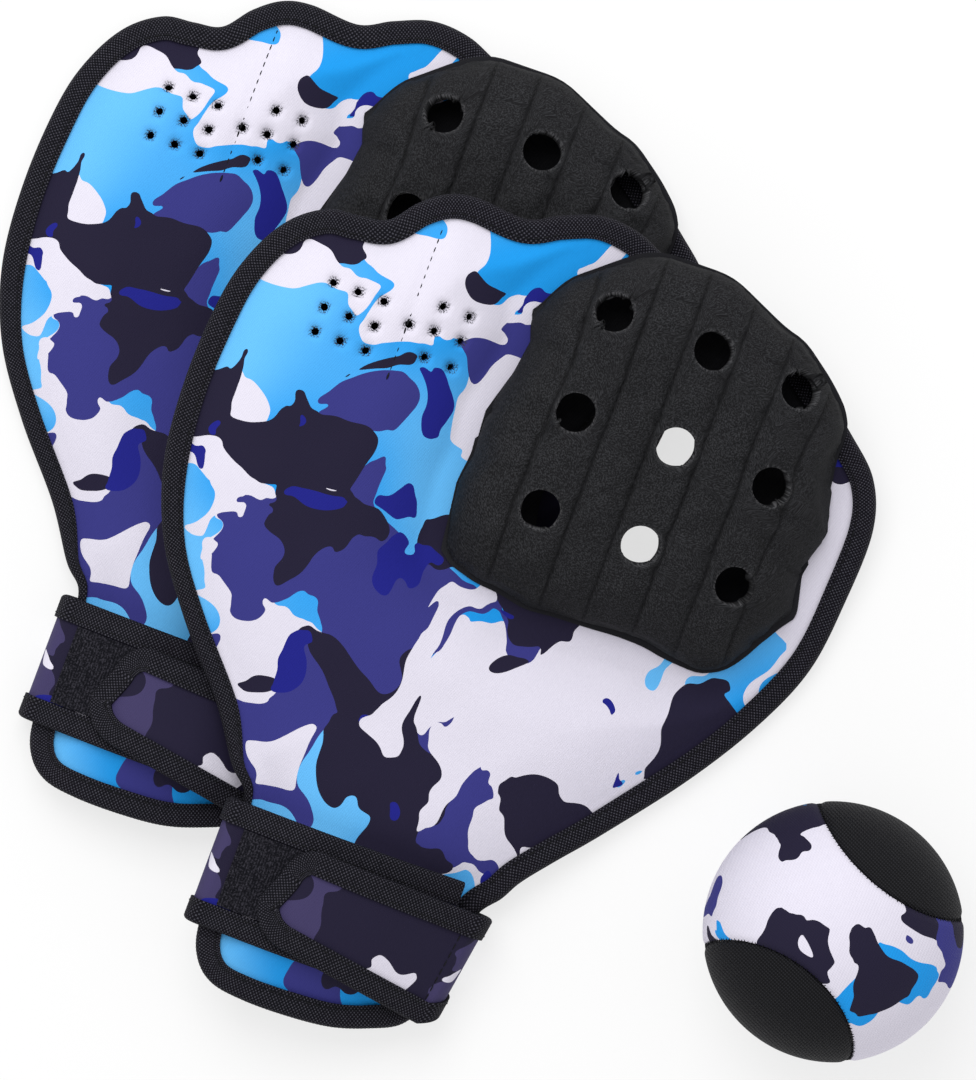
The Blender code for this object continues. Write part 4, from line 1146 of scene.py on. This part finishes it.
# %% [markdown]
# Foam between two rows of stitches swells, and puckers where the thread pulls. That is a job
# for cloth: the seams and the foot are held, air pushes from inside, and no point may move
# further than a cap. The holes are punched afterwards, so the cloth stays whole meanwhile.

# %% Swell the pocket as cloth
SETTLING_FRAMES = 20


def settled(points, held, pressure, cap, shrink):
    """The grid after cloth has pushed it out between the points that are held, by no more than
    the cap, and how far it would have gone."""
    piece = grid_piece("cloth_at_work", points)
    group = piece.vertex_groups.new(name="held")
    group.add([int(k) for k in np.flatnonzero(held.ravel())], 1.0, "REPLACE")
    cloth = piece.modifiers.new("cloth", "CLOTH")
    cloth.settings.vertex_group_mass = "held"
    cloth.settings.use_pressure = True
    cloth.settings.uniform_pressure_force = pressure
    cloth.settings.shrink_min = shrink
    cloth.settings.effector_weights.gravity = 0
    cloth.settings.quality = 6
    cloth.point_cache.frame_end = SETTLING_FRAMES
    for number in range(SETTLING_FRAMES):
        bpy.context.scene.frame_set(number + 1)
    ready = piece.evaluated_get(bpy.context.evaluated_depsgraph_get())
    moved = np.zeros(points.size, np.float32)
    ready.data.vertices.foreach_get("co", moved)
    bpy.data.objects.remove(piece, do_unlink=True)
    bpy.context.scene.frame_set(1)
    step = moved.reshape(points.shape).astype(float) - points
    far = np.linalg.norm(step, axis=-1, keepdims=True)
    return points + step * np.minimum(1, cap / np.maximum(far, 1e-9)), far.max()


pocket_points = np.stack((pocket_x, pocket_y, pocket_z), axis=-1)
held = np.zeros(pocket_x.shape, bool)
held[seam_away < 0.1 * mm] = True
held[:, :3] = held[:, -3:] = True
held |= hole_distance(pocket_x, pocket_y) < HOLE_RADIUS + 3 * mm
pocket_points, furthest = settled(pocket_points, held, 3.0, 1.2 * mm, -0.02)
print("pocket cloth moved at most, mm:", round(float(furthest) / mm, 2))

# %% Punch the holes and wall the pocket


def punched(points, radius):
    """The grid drawn onto a circle round each hole, the cells that stay, and the frayed rims.

    A block of cells is left out. The block's own border goes onto the circle, and the rings
    of cells outside it follow less and less, over about half a radius more. A corner that
    moves by (dx, dy) stays on the cloth: it rises by dx slope_x + dy slope_y.
    """
    points = points.copy()
    down, across = np.gradient(points, axis=(0, 1))
    spread = down[..., 0] * across[..., 1] - down[..., 1] * across[..., 0]
    spread = np.where(np.abs(spread) < 1e-12, 1e-12, spread)
    slope_x = np.clip((down[..., 2] * across[..., 1] - across[..., 2] * down[..., 1]) / spread, -1.5, 1.5)
    slope_y = np.clip((across[..., 2] * down[..., 0] - down[..., 2] * across[..., 0]) / spread, -1.5, 1.5)
    keep = np.ones((points.shape[0] - 1, points.shape[1] - 1), bool)
    fray = np.zeros(points.shape[:2])
    row, column = np.meshgrid(*(np.arange(n) for n in points.shape[:2]), indexing="ij")
    for hole in HOLES:
        x, y = points[..., 0] - hole[0], points[..., 1] - hole[1]
        away = np.maximum(np.hypot(x, y), 1e-9)
        i, j = np.unravel_index(away.argmin(), away.shape)
        lines = away[i:, j], away[i::-1, j], away[i, j:], away[i, j::-1]
        below, above, right, left = (int((line > 0.88 * radius).argmax()) for line in lines)
        ring = np.maximum(np.abs(row - i) / np.where(row > i, below, above),
                          np.abs(column - j) / np.where(column > j, right, left))
        pull = 1 - smoothstep((ring - 1) / 0.55)
        target = radius * np.maximum(ring, 1e-3)
        stretch = np.where(ring < 1.6, pull * (target / away - 1), 0)
        new_x, new_y = x * (1 + stretch), y * (1 + stretch)
        points[..., 2] += stretch * (x * slope_x + y * slope_y)
        points[..., 0] = hole[0] + new_x
        points[..., 1] = hole[1] + new_y
        keep[i - above:i + below, j - left:j + right] = False
        fray = np.maximum(fray, np.exp(-((np.hypot(new_x, new_y) - radius) / (0.4 * mm)) ** 2))
    return points, keep, fray


pocket_points, pocket_keep, pocket_fray = punched(pocket_points, HOLE_RADIUS)
pocket_uv = np.zeros(pocket_points.shape[:2] + (2,))
pocket_uv[1:, :, 0] = np.linalg.norm(np.diff(pocket_points, axis=0), axis=-1).cumsum(axis=0)
pocket_uv[:, 1:, 1] = np.linalg.norm(np.diff(pocket_points, axis=1), axis=-1).cumsum(axis=1)
pocket_seam = 0.55 * np.exp(-(seam_away / (0.45 * mm)) ** 2)[:, None] * (pocket_rise > 0.25)
for mitt in MITTS:
    pocket = grid_piece(f"{mitt}_pocket_cloth", laid(pocket_points, mitt), pocket_uv, keep=pocket_keep,
                        values={"fray": pocket_fray, "seam": pocket_seam})
    dress(walled(pocket, POCKET_THICK), pocket_neoprene, "pocket_neoprene", f"{mitt}_pocket")
print("pocket cells kept:", int(pocket_keep.sum()))

# %% [markdown]
# Each seam of the pocket shows as a thin dashed line in its valley, and the seam allowance
# peeps out from under the dome where it is sewn to the back.

# %% Pocket stitches and seam allowance
for mitt in MITTS:
    seam_columns = [int(np.abs(pocket_across - seam).argmin()) for seam in POCKET_SEAMS]
    seams = [(laid(pocket_points[column, 14:-14], mitt), UPWARDS) for column in seam_columns]
    sew(f"{mitt}_pocket_stitches", seams, 3.4 * mm, (2.6 * mm, 0.6 * mm, 0.5 * mm), "pocket_neoprene")

ALLOWANCE_THICK, ALLOWANCE_SEWN = 0.8 * mm, 4 * mm
foot_loop = fine_loop(pocket_foot)
flange_path, flange_at = evenly(np.vstack((foot_loop, foot_loop[:1])), 1.0 * mm)
flange_in = inward_of(flange_path, 4)
flange_out = 1.3 * mm * (1 + ripple(flange_path[:, 0], flange_path[:, 1], 60 * mm, 2.2))
flange_out = flange_out + 0.8 * mm * (flange_path[:, 1] < 150 * mm)
across = np.concatenate((np.linspace(-1, 1, 7), np.linspace(1, -1, 7)))
flange_x = across * np.where(across < 0, flange_out[:, None], ALLOWANCE_SEWN)
flange_plan = flange_path[:, None] + flange_x[..., None] * flange_in[:, None]
flange_z = edge_top(flange_plan[..., 0], flange_plan[..., 1]) + over_tape(flange_plan[..., 1])
flange_z = flange_z + np.repeat([0.2 * mm + ALLOWANCE_THICK, 0.2 * mm], 7)
flange_points = np.concatenate((flange_plan, flange_z[..., None]), axis=-1)[:-1]
for mitt in MITTS:
    flange = grid_piece(f"{mitt}_pocket_seam_allowance", laid(flange_points, mitt), closed=(True, True),
                        uv=tape_uv(flange_at, np.append(across, -1.0) * ALLOWANCE_SEWN))
    dress(flange, palm_neoprene, "black_neoprene")
print("seam allowance points:", flange_points.shape)

# %% [markdown]
# ## The wrist strap
# The strap's base half comes round the finger side and carries the loop patch. The tab half
# comes round the thumb side and presses down on it. Both follow one course in section:
# under the palm, round the cuff, and over the back, pulled tight over the arch.

# %% The strap's course
BASE_TOP, BASE_BOTTOM, BASE_END = 4.5 * mm, -41 * mm, 40 * mm
PATCH_START, PATCH_END = -37.5 * mm, 16 * mm
TAB_TIP, TAB_CORNER = -23.5 * mm, 13 * mm
TIP_SLANT = 4.5 * mm
TAB_TOP_AT_TIP, TAB_TOP_AT_FOLD = -1.5 * mm, -4.5 * mm
TAB_BOTTOM_AT_TIP, TAB_BOTTOM_AT_FOLD = -36.5 * mm, -47.5 * mm
FOLD_LEAN, STRAP_FOLD, STRAP_MEET = 6 * mm, 4.4 * mm, 4 * mm
PATCH_LEVEL = STRAP_THICK / 2 + CLEARANCE + PATCH_THICK
TAB_LIFT = STRAP_HALF + max(STRAP_HALF, PATCH_LEVEL) + 0.7 * mm


def cuff_side(sign):
    """Where the panels end at one side of the cuff."""
    y = BASE_TOP if sign < 0 else (BASE_TOP + BASE_BOTTOM) / 2
    side = panel_edge[(panel_edge[:, 0] * sign > 0) & (panel_edge[:, 1] < 20 * mm)]
    side = side[np.argsort(side[:, 1])]
    return float(np.interp(y, side[:, 1], side[:, 0]))


def pulled_tight(places, level):
    """The lowest course over the levels that has no hollow: at each place, the highest of all
    the straight lines drawn between two of the levels on either side of it."""
    i, j = np.triu_indices(len(places), 1)
    share = (places[None] - places[i][:, None]) / (places[j] - places[i])[:, None]
    lines = level[i][:, None] * (1 - share) + level[j][:, None] * share
    return np.maximum(level, np.where((share >= 0) & (share <= 1), lines, -1).max(axis=0))


STRAP_GAP = 0.8 * mm
bends = np.linspace(cuff_side(-1), cuff_side(1), 7)
strap_rows = np.linspace(BASE_BOTTOM, BASE_TOP, 7)
under_rows = [edge_top(bends, y) + crown(bends, np.full_like(bends, y)) for y in strap_rows]
under_strap = np.max(under_rows, axis=0)
strap_levels = pulled_tight(bends, under_strap) + STRAP_GAP + STRAP_HALF


def strap_middle(x):
    """Level of the strap's middle over the back, its bends eased over a few millimetres."""
    shifts = np.linspace(-5, 5, 11) * mm
    return np.mean([np.interp(x + shift, bends, strap_levels) for shift in shifts], axis=0)


def strap_course(sign, end_x, lift):
    """Half of the strap as places across the mitt, levels, and how far it has come round the
    fold. The fold is half an ellipse about the cuff's side."""
    side_x = cuff_side(sign)
    under = np.linspace(STRAP_MEET + sign * CLEARANCE / 2, side_x, 50)[:-1]
    angle = np.radians(np.linspace(-90, 90, 25))
    over = np.linspace(side_x, end_x, round(abs(end_x - side_x) / (0.8 * mm)))[1:]
    low, high = STRAP_HALF, float(strap_middle(np.array([side_x]))[0]) + lift
    round_fold = (low + high) / 2 + (high - low) / 2 * np.sin(angle)
    x = np.concatenate((under, side_x + sign * STRAP_FOLD * np.cos(angle), over))
    z = np.concatenate((np.full_like(under, low), round_fold, strap_middle(over) + lift))
    turned_by = np.concatenate((0 * under, (angle + math.pi / 2) / math.pi, 0 * over + 1))
    return x, z, turned_by


def normals_of(x, z):
    """Outward normals of a course in the plane across the mitt."""
    step_x, step_z = np.gradient(x), np.gradient(z)
    size = np.hypot(step_x, step_z)
    return np.stack((step_z / size, np.zeros(len(x)), -step_x / size), axis=1)


print("strap over the back, mm:", np.round(strap_levels / mm, 1))

# %% Base and tab halves as two edges


def base_edges():
    """The upper and lower edge of the base half, and its outward normals."""
    x, z, _ = strap_course(-1, BASE_END, 0.0)
    upper = np.stack((x, np.full(len(x), BASE_TOP), z), axis=1)
    lower = np.stack((x, np.full(len(x), BASE_BOTTOM), z), axis=1)
    return upper, lower, -normals_of(x, z)


def tab_edges():
    """The upper and lower edge of the tab half, drawn together in quarter circles at its tip."""
    x, z, turned_by = strap_course(1, TAB_TIP + TAB_CORNER, TAB_LIFT)
    tip = np.radians(np.linspace(0, 86, 16))[1:]
    narrowing = np.concatenate((0 * x, TAB_CORNER * (1 - np.cos(tip))))
    x = np.concatenate((x, TAB_TIP + TAB_CORNER * (1 - np.sin(tip))))
    z = np.concatenate((z, strap_middle(x[-len(tip):]) + TAB_LIFT))
    turned_by = np.concatenate((turned_by, 0 * tip + 1))
    to_fold = np.clip((x - TAB_TIP) / (cuff_side(1) - TAB_TIP), 0, 1)
    upper_y = TAB_TOP_AT_TIP + (TAB_TOP_AT_FOLD - TAB_TOP_AT_TIP) * to_fold
    lower_y = TAB_BOTTOM_AT_TIP + (TAB_BOTTOM_AT_FOLD - TAB_BOTTOM_AT_TIP) * to_fold
    upper_y = BASE_TOP + (upper_y - BASE_TOP) * smoothstep(turned_by * 2 + (np.arange(len(x)) / 49))
    lower_y = BASE_BOTTOM + (lower_y - BASE_BOTTOM) * turned_by
    slant = FOLD_LEAN / 2 * smoothstep((x - STRAP_MEET) / (cuff_side(1) - STRAP_MEET))
    tip_slant = TIP_SLANT * (1 - smoothstep((x - TAB_TIP) / (24 * mm))) * (turned_by == 1)
    upper = np.stack((x + slant + 0.8 * tip_slant, upper_y - narrowing, z), axis=1)
    lower = np.stack((x - slant - 0.2 * tip_slant, lower_y + narrowing, z), axis=1)
    return upper, lower, normals_of(x, z)


print("points along the base half:", len(base_edges()[0]))

# %% A strip between two edges


def unit(vectors):
    """The same directions at length one."""
    return vectors / np.linalg.norm(vectors, axis=-1, keepdims=True)


def band(upper, lower, normals, trim, low, high, fuzz=0.0):
    """A closed strip between two edges: 25 points across its face and 25 back underneath."""
    share = np.linspace(0, 1, 25)
    across = unit(lower - upper)
    upper, lower = upper + across * trim, lower - across * trim
    face = upper[:, None] + share[None, :, None] * (lower - upper)[:, None]
    long_pile, short_pile = (ripple(face[..., 0], face[..., 1], size, seed)
                             for size, seed in ((1.9 * mm, 0.3), (1.1 * mm, 2.0)))
    rough = fuzz * (long_pile + short_pile)
    top = face + normals[:, None] * (high + rough)[..., None]
    under = face[:, ::-1] + normals[:, None] * low
    v = np.linalg.norm(face - face[:, :1], axis=-1)
    v = np.concatenate((v, v[:, ::-1], v[:, :1]), axis=1)
    u = np.repeat(lengths_along((upper + lower) / 2)[:, None], v.shape[1], axis=1)
    return np.concatenate((top, under), axis=1), np.stack((u, v), axis=-1)


base_upper, base_lower, base_normals = base_edges()
tab_upper, tab_lower, tab_normals = tab_edges()
TIP_TRIM = 3 * mm
tab_field = [np.column_stack((np.maximum(side[:, 0], side[-1, 0] + TIP_TRIM), side[:, 1:]))
             for side in (tab_upper, tab_lower)]
print("base half, mm long:", round(path_length(base_upper) / mm))
print("tab half, mm long:", round(path_length(tab_upper) / mm))

# %% [markdown]
# A strap tape is the same folded U as the rim tape, carried along a line in space. Round the
# tab's tip it needs a direction into the cloth that turns with the edge.

# %% Strap tapes


def space_tape(path, inward, up, cover):
    """A tape carried along a path in space: places, and its cloth coordinates."""
    lengths = lengths_along(path)
    places = np.linspace(0, lengths[-1], round(lengths[-1] / TAPE_STEP) + 1)
    path, inward, up = (at_places(places, lengths, values) for values in (path, inward, up))
    inward, up = unit(inward), unit(up)
    ring_x, ring_z, ring_v = tape_grid(len(path), STRAP_THICK, 1.5 * mm, cover, places)
    points = path[:, None] + ring_x[..., None] * inward[:, None] + ring_z[..., None] * up[:, None]
    return points, tape_uv(places, ring_v)


def tab_loop():
    """The tab's edge along its lower side, round the tip and back, and its directions inwards
    and upwards. Near the tip the inward direction is square to the edge."""
    path = np.concatenate((tab_lower, tab_upper[::-1]))
    ups = np.concatenate((tab_normals, tab_normals[::-1]))
    straight = np.concatenate((unit(tab_upper - tab_lower), unit(tab_lower - tab_upper)[::-1]))
    square = unit(np.cross(np.gradient(path, axis=0), ups))
    square *= np.sign((square * straight).sum(axis=1).mean()) or 1
    near_tip = np.clip(1 - (np.abs(np.arange(len(path)) - len(tab_lower) + 0.5) - 14) / 6, 0, 1)[:, None]
    return path, unit(straight * (1 - near_tip) + square * near_tip), ups


base_across = unit(base_lower - base_upper)
STRAP_TAPES = {
    "base_upper_tape": (base_upper, base_across, base_normals),
    "base_lower_tape": (base_lower, -base_across, base_normals),
    "tab_tape": tab_loop(),
}
for mitt in MITTS:
    for name, (path, inward, up) in STRAP_TAPES.items():
        points, uv = space_tape(path, inward, up, TAPE_COVER)
        tape = grid_piece(f"{mitt}_{name}_cloth", laid(points, mitt), uv, closed=(False, True), caps=True)
        dress(tape, petersham, "edge_tape", f"{mitt}_{name}")
        seam = laid(path + inward * (TAPE_COVER - 1.6 * mm) + up * (STRAP_HALF + 0.1 * mm), mitt)
        size = 2.5 * mm, 0.5 * mm, 0.36 * mm
        sew(f"{mitt}_{name}_stitches", [(seam, up)], 3.2 * mm, size, "edge_tape")
print("strap tapes:", list(STRAP_TAPES))

# %% Straps and their closures
TRIM = TAPE_THICK + CLEARANCE
patch_x = np.linspace(PATCH_START, PATCH_END, 150)
hook_x = np.linspace(TAB_TIP + TAPE_COVER + 5 * mm, PATCH_END, 60)


def level_edges(x, top, bottom, lift):
    """Two edges over the back at places across it, and their upward normals."""
    z = strap_middle(x) + lift
    ups = np.tile((0.0, 0.0, 1.0), (len(x), 1))
    return np.stack((x, top + 0 * x, z), axis=1), np.stack((x, bottom + 0 * x, z), axis=1), ups


hook_share = np.clip((hook_x - TAB_TIP) / (cuff_side(1) - TAB_TIP), 0, 1)
hook_top = TAB_TOP_AT_TIP + (TAB_TOP_AT_FOLD - TAB_TOP_AT_TIP) * hook_share
hook_bottom = TAB_BOTTOM_AT_TIP + (TAB_BOTTOM_AT_FOLD - TAB_BOTTOM_AT_TIP) * hook_share
patch_low = STRAP_THICK / 2 + CLEARANCE
STRAPS = {
    "base_strap": (band(base_upper, base_lower, base_normals, TRIM, -STRAP_THICK / 2, STRAP_THICK / 2),
                   strap_neoprene, "printed_neoprene"),
    "tab_strap": (band(*tab_field, tab_normals, TRIM, -STRAP_THICK / 2, STRAP_THICK / 2),
                  strap_neoprene, "printed_neoprene"),
    "loop_patch": (band(*level_edges(patch_x, BASE_TOP, BASE_BOTTOM, 0.0), TAPE_COVER + CLEARANCE,
                        patch_low, patch_low + PATCH_THICK, 0.12 * mm), loop_pile, "loop_fleece"),
    "hook_patch": (band(*level_edges(hook_x, hook_top, hook_bottom, TAB_LIFT), TAPE_COVER + CLEARANCE,
                        -patch_low - TAPE_THICK, -patch_low), hook_strip, "hook_strip"),
}
for mitt in MITTS:
    for name, ((points, uv), cloth, slot) in STRAPS.items():
        strap = grid_piece(f"{mitt}_{name}_cloth", laid(points, mitt), uv, closed=(False, True), caps=True)
        dress(strap, cloth, slot, f"{mitt}_{name}")
print("strap pieces:", list(STRAPS))

# %% [markdown]
# ## The ball
# The cover is cut from two figure-of-eight panels, as on a tennis ball: one printed knit, one
# black. Their shared seam is a known closed curve, and each panel is ruled across by great
# circles between mirrored points of it.

# %% Seam and panels
SEAM_A, SEAM_B = 0.714, 1 - 0.714
SEAM_GAP = 0.3 * mm
COVER_THICK = 2.6 * mm
BALL_TILT, BALL_SPIN = math.radians(4.7), math.radians(6)
ball_turn = np.array(Euler((-0.78 * BALL_TILT, 0.63 * BALL_TILT, BALL_SPIN), "XYZ").to_matrix())


def ball_seam(t):
    """The seam on a unit ball: x = a cos t + b cos 3t, y = a sin t - b sin 3t, z = 2 sqrt(ab) sin 2t."""
    x = SEAM_A * np.cos(t) + SEAM_B * np.cos(3 * t)
    y = SEAM_A * np.sin(t) - SEAM_B * np.sin(3 * t)
    return np.stack((x, y, 2 * math.sqrt(SEAM_A * SEAM_B) * np.sin(2 * t)), axis=-1)


def ball_panel(ribs, across):
    """Skin of one panel on a unit ball, and each point's distance from the seam in radians.

    Rib t joins the seam at t to the seam at -pi/2 - t, along the great circle between them.
    """
    t = -math.pi / 4 + (np.arange(ribs) + 0.5) * math.pi / ribs
    left, right = ball_seam(t), ball_seam(-math.pi / 2 - t)
    angle = np.arccos(np.clip((left * right).sum(axis=1), -1, 1))[:, None]
    trim = SEAM_GAP / BALL_RADIUS / angle
    share = trim + np.linspace(0, 1, across)[None] * (1 - 2 * trim)
    skin = (np.sin((1 - share) * angle)[..., None] * left[:, None]
            + np.sin(share * angle)[..., None] * right[:, None]) / np.sin(angle)[..., None]
    return unit(skin), np.minimum(share, 1 - share) * angle


skin, from_seam = ball_panel(150, 68)
seam_dip = 0.9 * mm * np.exp(-(from_seam * BALL_RADIUS / (1.5 * mm)) ** 2)
outer = skin * (BALL_RADIUS - seam_dip)[..., None]
inner = skin[:, ::-1] * (BALL_RADIUS - COVER_THICK)
ball_ring = np.concatenate((outer, inner), axis=1)
print("ball panel grid:", skin.shape)


def on_ball(points):
    """Points about the ball's own middle, put where the ball lies."""
    return points @ ball_turn.T + BALL_AT


# %% [markdown]
# The printed knit has the mitts' inks at a smaller scale, the black one is a coarse mesh. Both
# read the object's coordinates, because a ball has no flat pattern to follow.

# %% Ball finishes


def ball_place(start):
    """Object coordinates, from the ball's middle."""
    place = start.node("TexCoord", output=3)
    return start.node("Mapping", {}, {"Vector": place, "Location": tuple(-BALL_AT)})


def knit_paint(start):
    """The mitts' inks on a fine knit."""
    place = ball_place(start)
    colour, weave = printed(place, ball_blotches(place, 40 * mm, 46 * mm, 5.0), 1.1 * mm)
    return {"Base Color": colour, "Roughness": 0.75 + 0.15 * weave, "Normal": bumped(weave, 0.2 * mm)}


def mesh_paint(start):
    """A coarse black knit, its threads crossing aslant."""
    along, across = two_ways(ball_place(start))
    net = 0.5 + 0.28 * sine(along + across, 1.35 * mm) + 0.22 * sine(across - along, 1.2 * mm)
    colour = mixed(step_up(net, 0.35, 0.95), (0.0035, 0.0035, 0.0045, 1), (0.021, 0.021, 0.025, 1))
    return {"Base Color": colour, "Roughness": 0.6 + 0.2 * net, "Normal": bumped(net, 0.35 * mm)}


def foam_paint(start):
    """Pale open foam."""
    place = ball_place(start)
    cell = noise(place, 0.8 * mm, 1.0, 2.0)
    colour = mixed(cell, (0.45, 0.43, 0.40, 1), (0.62, 0.60, 0.56, 1))
    return {"Base Color": colour, "Roughness": 0.85 + 0.1 * cell, "Normal": bumped(cell, 0.4 * mm)}


printed_knit = finish("printed_knit", knit_paint, Specular_IOR_Level=0.25)
black_knit = finish("black_knit", mesh_paint, Specular_IOR_Level=0.12)
foam = finish("soft_foam", foam_paint)

# %% Ball pieces
half_turn = np.array((1.0, -1.0, -1.0))
COVERS = {"ball_printed_panel": (np.ones(3), printed_knit, "printed_knit"),
          "ball_black_panel": (half_turn, black_knit, "black_knit")}
for name, (flip, cloth, slot) in COVERS.items():
    cover = grid_piece(f"{name}_cloth", on_ball(ball_ring * flip), closed=(False, True), caps=True)
    dress(cover, cloth, slot, name)

theta = np.linspace(0, math.pi, 40)[1:-1]
phi = np.arange(80) * math.tau / 80
core_radius = BALL_RADIUS - COVER_THICK - 0.4 * mm
theta, phi = np.meshgrid(theta, phi, indexing="ij")
core_points = np.stack((np.sin(theta) * np.cos(phi), np.sin(theta) * np.sin(phi), np.cos(theta)), axis=-1)
core = grid_piece("ball_core_foam", on_ball(core_radius * core_points), closed=(False, True), caps=True)
dress(core, foam, "foam_core", "ball_core")

seam_t = np.linspace(0, math.tau, 1200)
seam_line = on_ball(ball_seam(seam_t) * (BALL_RADIUS - 0.75 * mm))
seam_up = unit(seam_line - BALL_AT)
centres, along, up = stitches_along(seam_line, seam_up, 1.6 * mm)
jitter = 0.35 * mm * np.sin(np.arange(len(centres)) * 2.4)[:, None]
crosswise = unit(np.cross(unit(along), up))
lean = 0.5 * np.sin(np.arange(len(centres)) * 1.7)[:, None]
fringe = stitch_row("ball_seam_fringe", centres + crosswise * jitter, crosswise + lean * unit(along), up,
                    2.4 * mm, 0.34 * mm, 0.5 * mm)
dress(fringe, dark_thread, "black_knit")
print("fringe threads:", len(centres))

# %% [markdown]
# ## Dart and fold stitches
# The dart at the middle finger is sewn with dark thread, and so is the strap's end where it
# turns round the thumb side.

# %% Last stitches
dart_y = np.linspace(DART_LOW, DART_HIGH, 60)
dart_x = np.full(60, DART_X)
dart_line = np.stack((dart_x, dart_y, back_top(dart_x, dart_y) + 0.1 * mm), axis=1)
fold_share = np.linspace(0.12, 0.9, 40)[:, None]
over_fold = np.flatnonzero(tab_normals[:, 2] > 0.9)[0] + 3
fold_line = tab_upper[over_fold] + (tab_lower[over_fold] - tab_upper[over_fold]) * fold_share
fold_line = fold_line + tab_normals[over_fold] * (STRAP_THICK / 2 + 0.1 * mm)
for mitt in MITTS:
    for name, line, width in (("dart", dart_line, 0.8 * mm), ("strap_fold", fold_line, 0.5 * mm)):
        size = 2.7 * mm, width, 0.4 * mm
        sew(f"{mitt}_{name}_stitches", [(laid(line, mitt), UPWARDS)], 3.3 * mm, size, "edge_tape")
print("dart and fold sewn")

# %% [markdown]
# ## How big the straps were cut
# The panels were cut to the mitt's outline, and the straps to their own length and width, which
# the code below works out and prints for each mitt.


def cut_size(upper, lower):
    """Width, length and area of a strap before it was folded round the cuff."""
    widths = np.linalg.norm(lower - upper, axis=1) - 2 * TRIM
    length = (path_length(upper) + path_length(lower)) / 2
    return float(widths.max()), length, float(widths.mean()) * length


ON_BASE = ("base_upper_tape_cloth", "base_upper_tape_stitches", "base_lower_tape_cloth",
           "base_lower_tape_stitches", "loop_patch_cloth")
ON_TAB = ("tab_tape_cloth", "tab_tape_stitches", "strap_fold_stitches", "hook_patch_cloth")
for mitt in MITTS:
    below = "floor" if mitt == "rear_mitt" else "rear_mitt_back_cloth"
    for name, edges, extras in (("base_strap", (base_upper, base_lower), ON_BASE),
                                ("tab_strap", tab_field, ON_TAB)):
        width, length, area = cut_size(*edges)
        print(mitt, name, "cut to, mm:", round(width / mm, 1), "by", round(length / mm, 1))

spine = unit(skin[:, :1] + skin[:, -1:])[:, 0] * BALL_RADIUS
panel_width = float(2 * from_seam.max() * BALL_RADIUS)
for name in COVERS:
    extras = ["ball_seam_fringe"] if name == "ball_black_panel" else []

# %% [markdown]
# ## Floor, light and camera
# The set lies on a white floor under one large soft light and an even sky. The floor shows
# white to the camera but keeps the shadow that the ball drops on it.

# %% Stage
FLOOR_GLOW = 0.70
SKY_STRENGTH = 0.70
floor_x = np.linspace(-3, 3, 3)
floor_points = np.stack((*np.meshgrid(floor_x, floor_x, indexing="ij"), np.full((3, 3), -0.0002)), axis=-1)
floor = grid_piece("floor", floor_points)
floor_finish = bpy.data.materials.new("white_floor")
floor_finish.use_nodes = True
tree = floor_finish.node_tree
tree.nodes.clear()
start = Signal(tree)
rays = start.node("LightPath")
seen = rays.output("Is Camera Ray")
for other in ("Is Glossy Ray", "Is Transmission Ray"):
    seen = seen.math("MAXIMUM", seen, rays.output(other))
matte = start.node("BsdfDiffuse", {}, {"Color": (0.93, 0.93, 0.93, 1)})
glow = start.node("Emission", {}, {"Color": (1, 1, 1, 1), "Strength": 1.0})
blended = start.node("MixShader", {}, {0: FLOOR_GLOW * seen, 1: matte, 2: glow})
out = tree.nodes.new("ShaderNodeOutputMaterial")
tree.links.new(blended.socket, out.inputs["Surface"])
floor.data.materials.append(floor_finish)

world = bpy.data.worlds.new("even_sky")
bpy.context.scene.world = world
world.use_nodes = True
sky_seen = Signal(world.node_tree).node("LightPath").output("Is Camera Ray")
strength = SKY_STRENGTH + (1 - SKY_STRENGTH) * sky_seen
background = world.node_tree.nodes["Background"]
background.inputs["Color"].default_value = (1, 1, 1, 1)
world.node_tree.links.new(strength.socket, background.inputs["Strength"])

LAMP_AT = (-0.25, 0.75, 1.5)
lamp = bpy.data.lights.new("soft_box", "AREA")
lamp.shape = "SQUARE"
lamp.size = 1.1
lamp.energy = 16.5
soft_box = bpy.data.objects.new("soft_box", lamp)
soft_box.location = LAMP_AT
soft_box.rotation_euler = (-math.atan2(LAMP_AT[1], LAMP_AT[2]), math.atan2(LAMP_AT[0], 1.68), 0)
bpy.context.scene.collection.objects.link(soft_box)
print("lamp power, W:", lamp.energy)

# %% Camera
CAMERA_HEIGHT = 3.0
PHOTO_HEIGHT, PIXEL = 1080, 0.35 * mm
FRAME_LENGTH = PHOTO_HEIGHT * PIXEL
lens = bpy.data.cameras.new("camera")
lens.sensor_width = 36
lens.lens = 36 * CAMERA_HEIGHT / FRAME_LENGTH
camera = bpy.data.objects.new("camera", lens)
camera.location = (3.15 * mm, -4.2 * mm, CAMERA_HEIGHT)
bpy.context.scene.collection.objects.link(camera)
bpy.context.scene.camera = camera
bpy.context.scene.view_settings.view_transform = "Standard"
print("lens, mm:", round(lens.lens, 1))
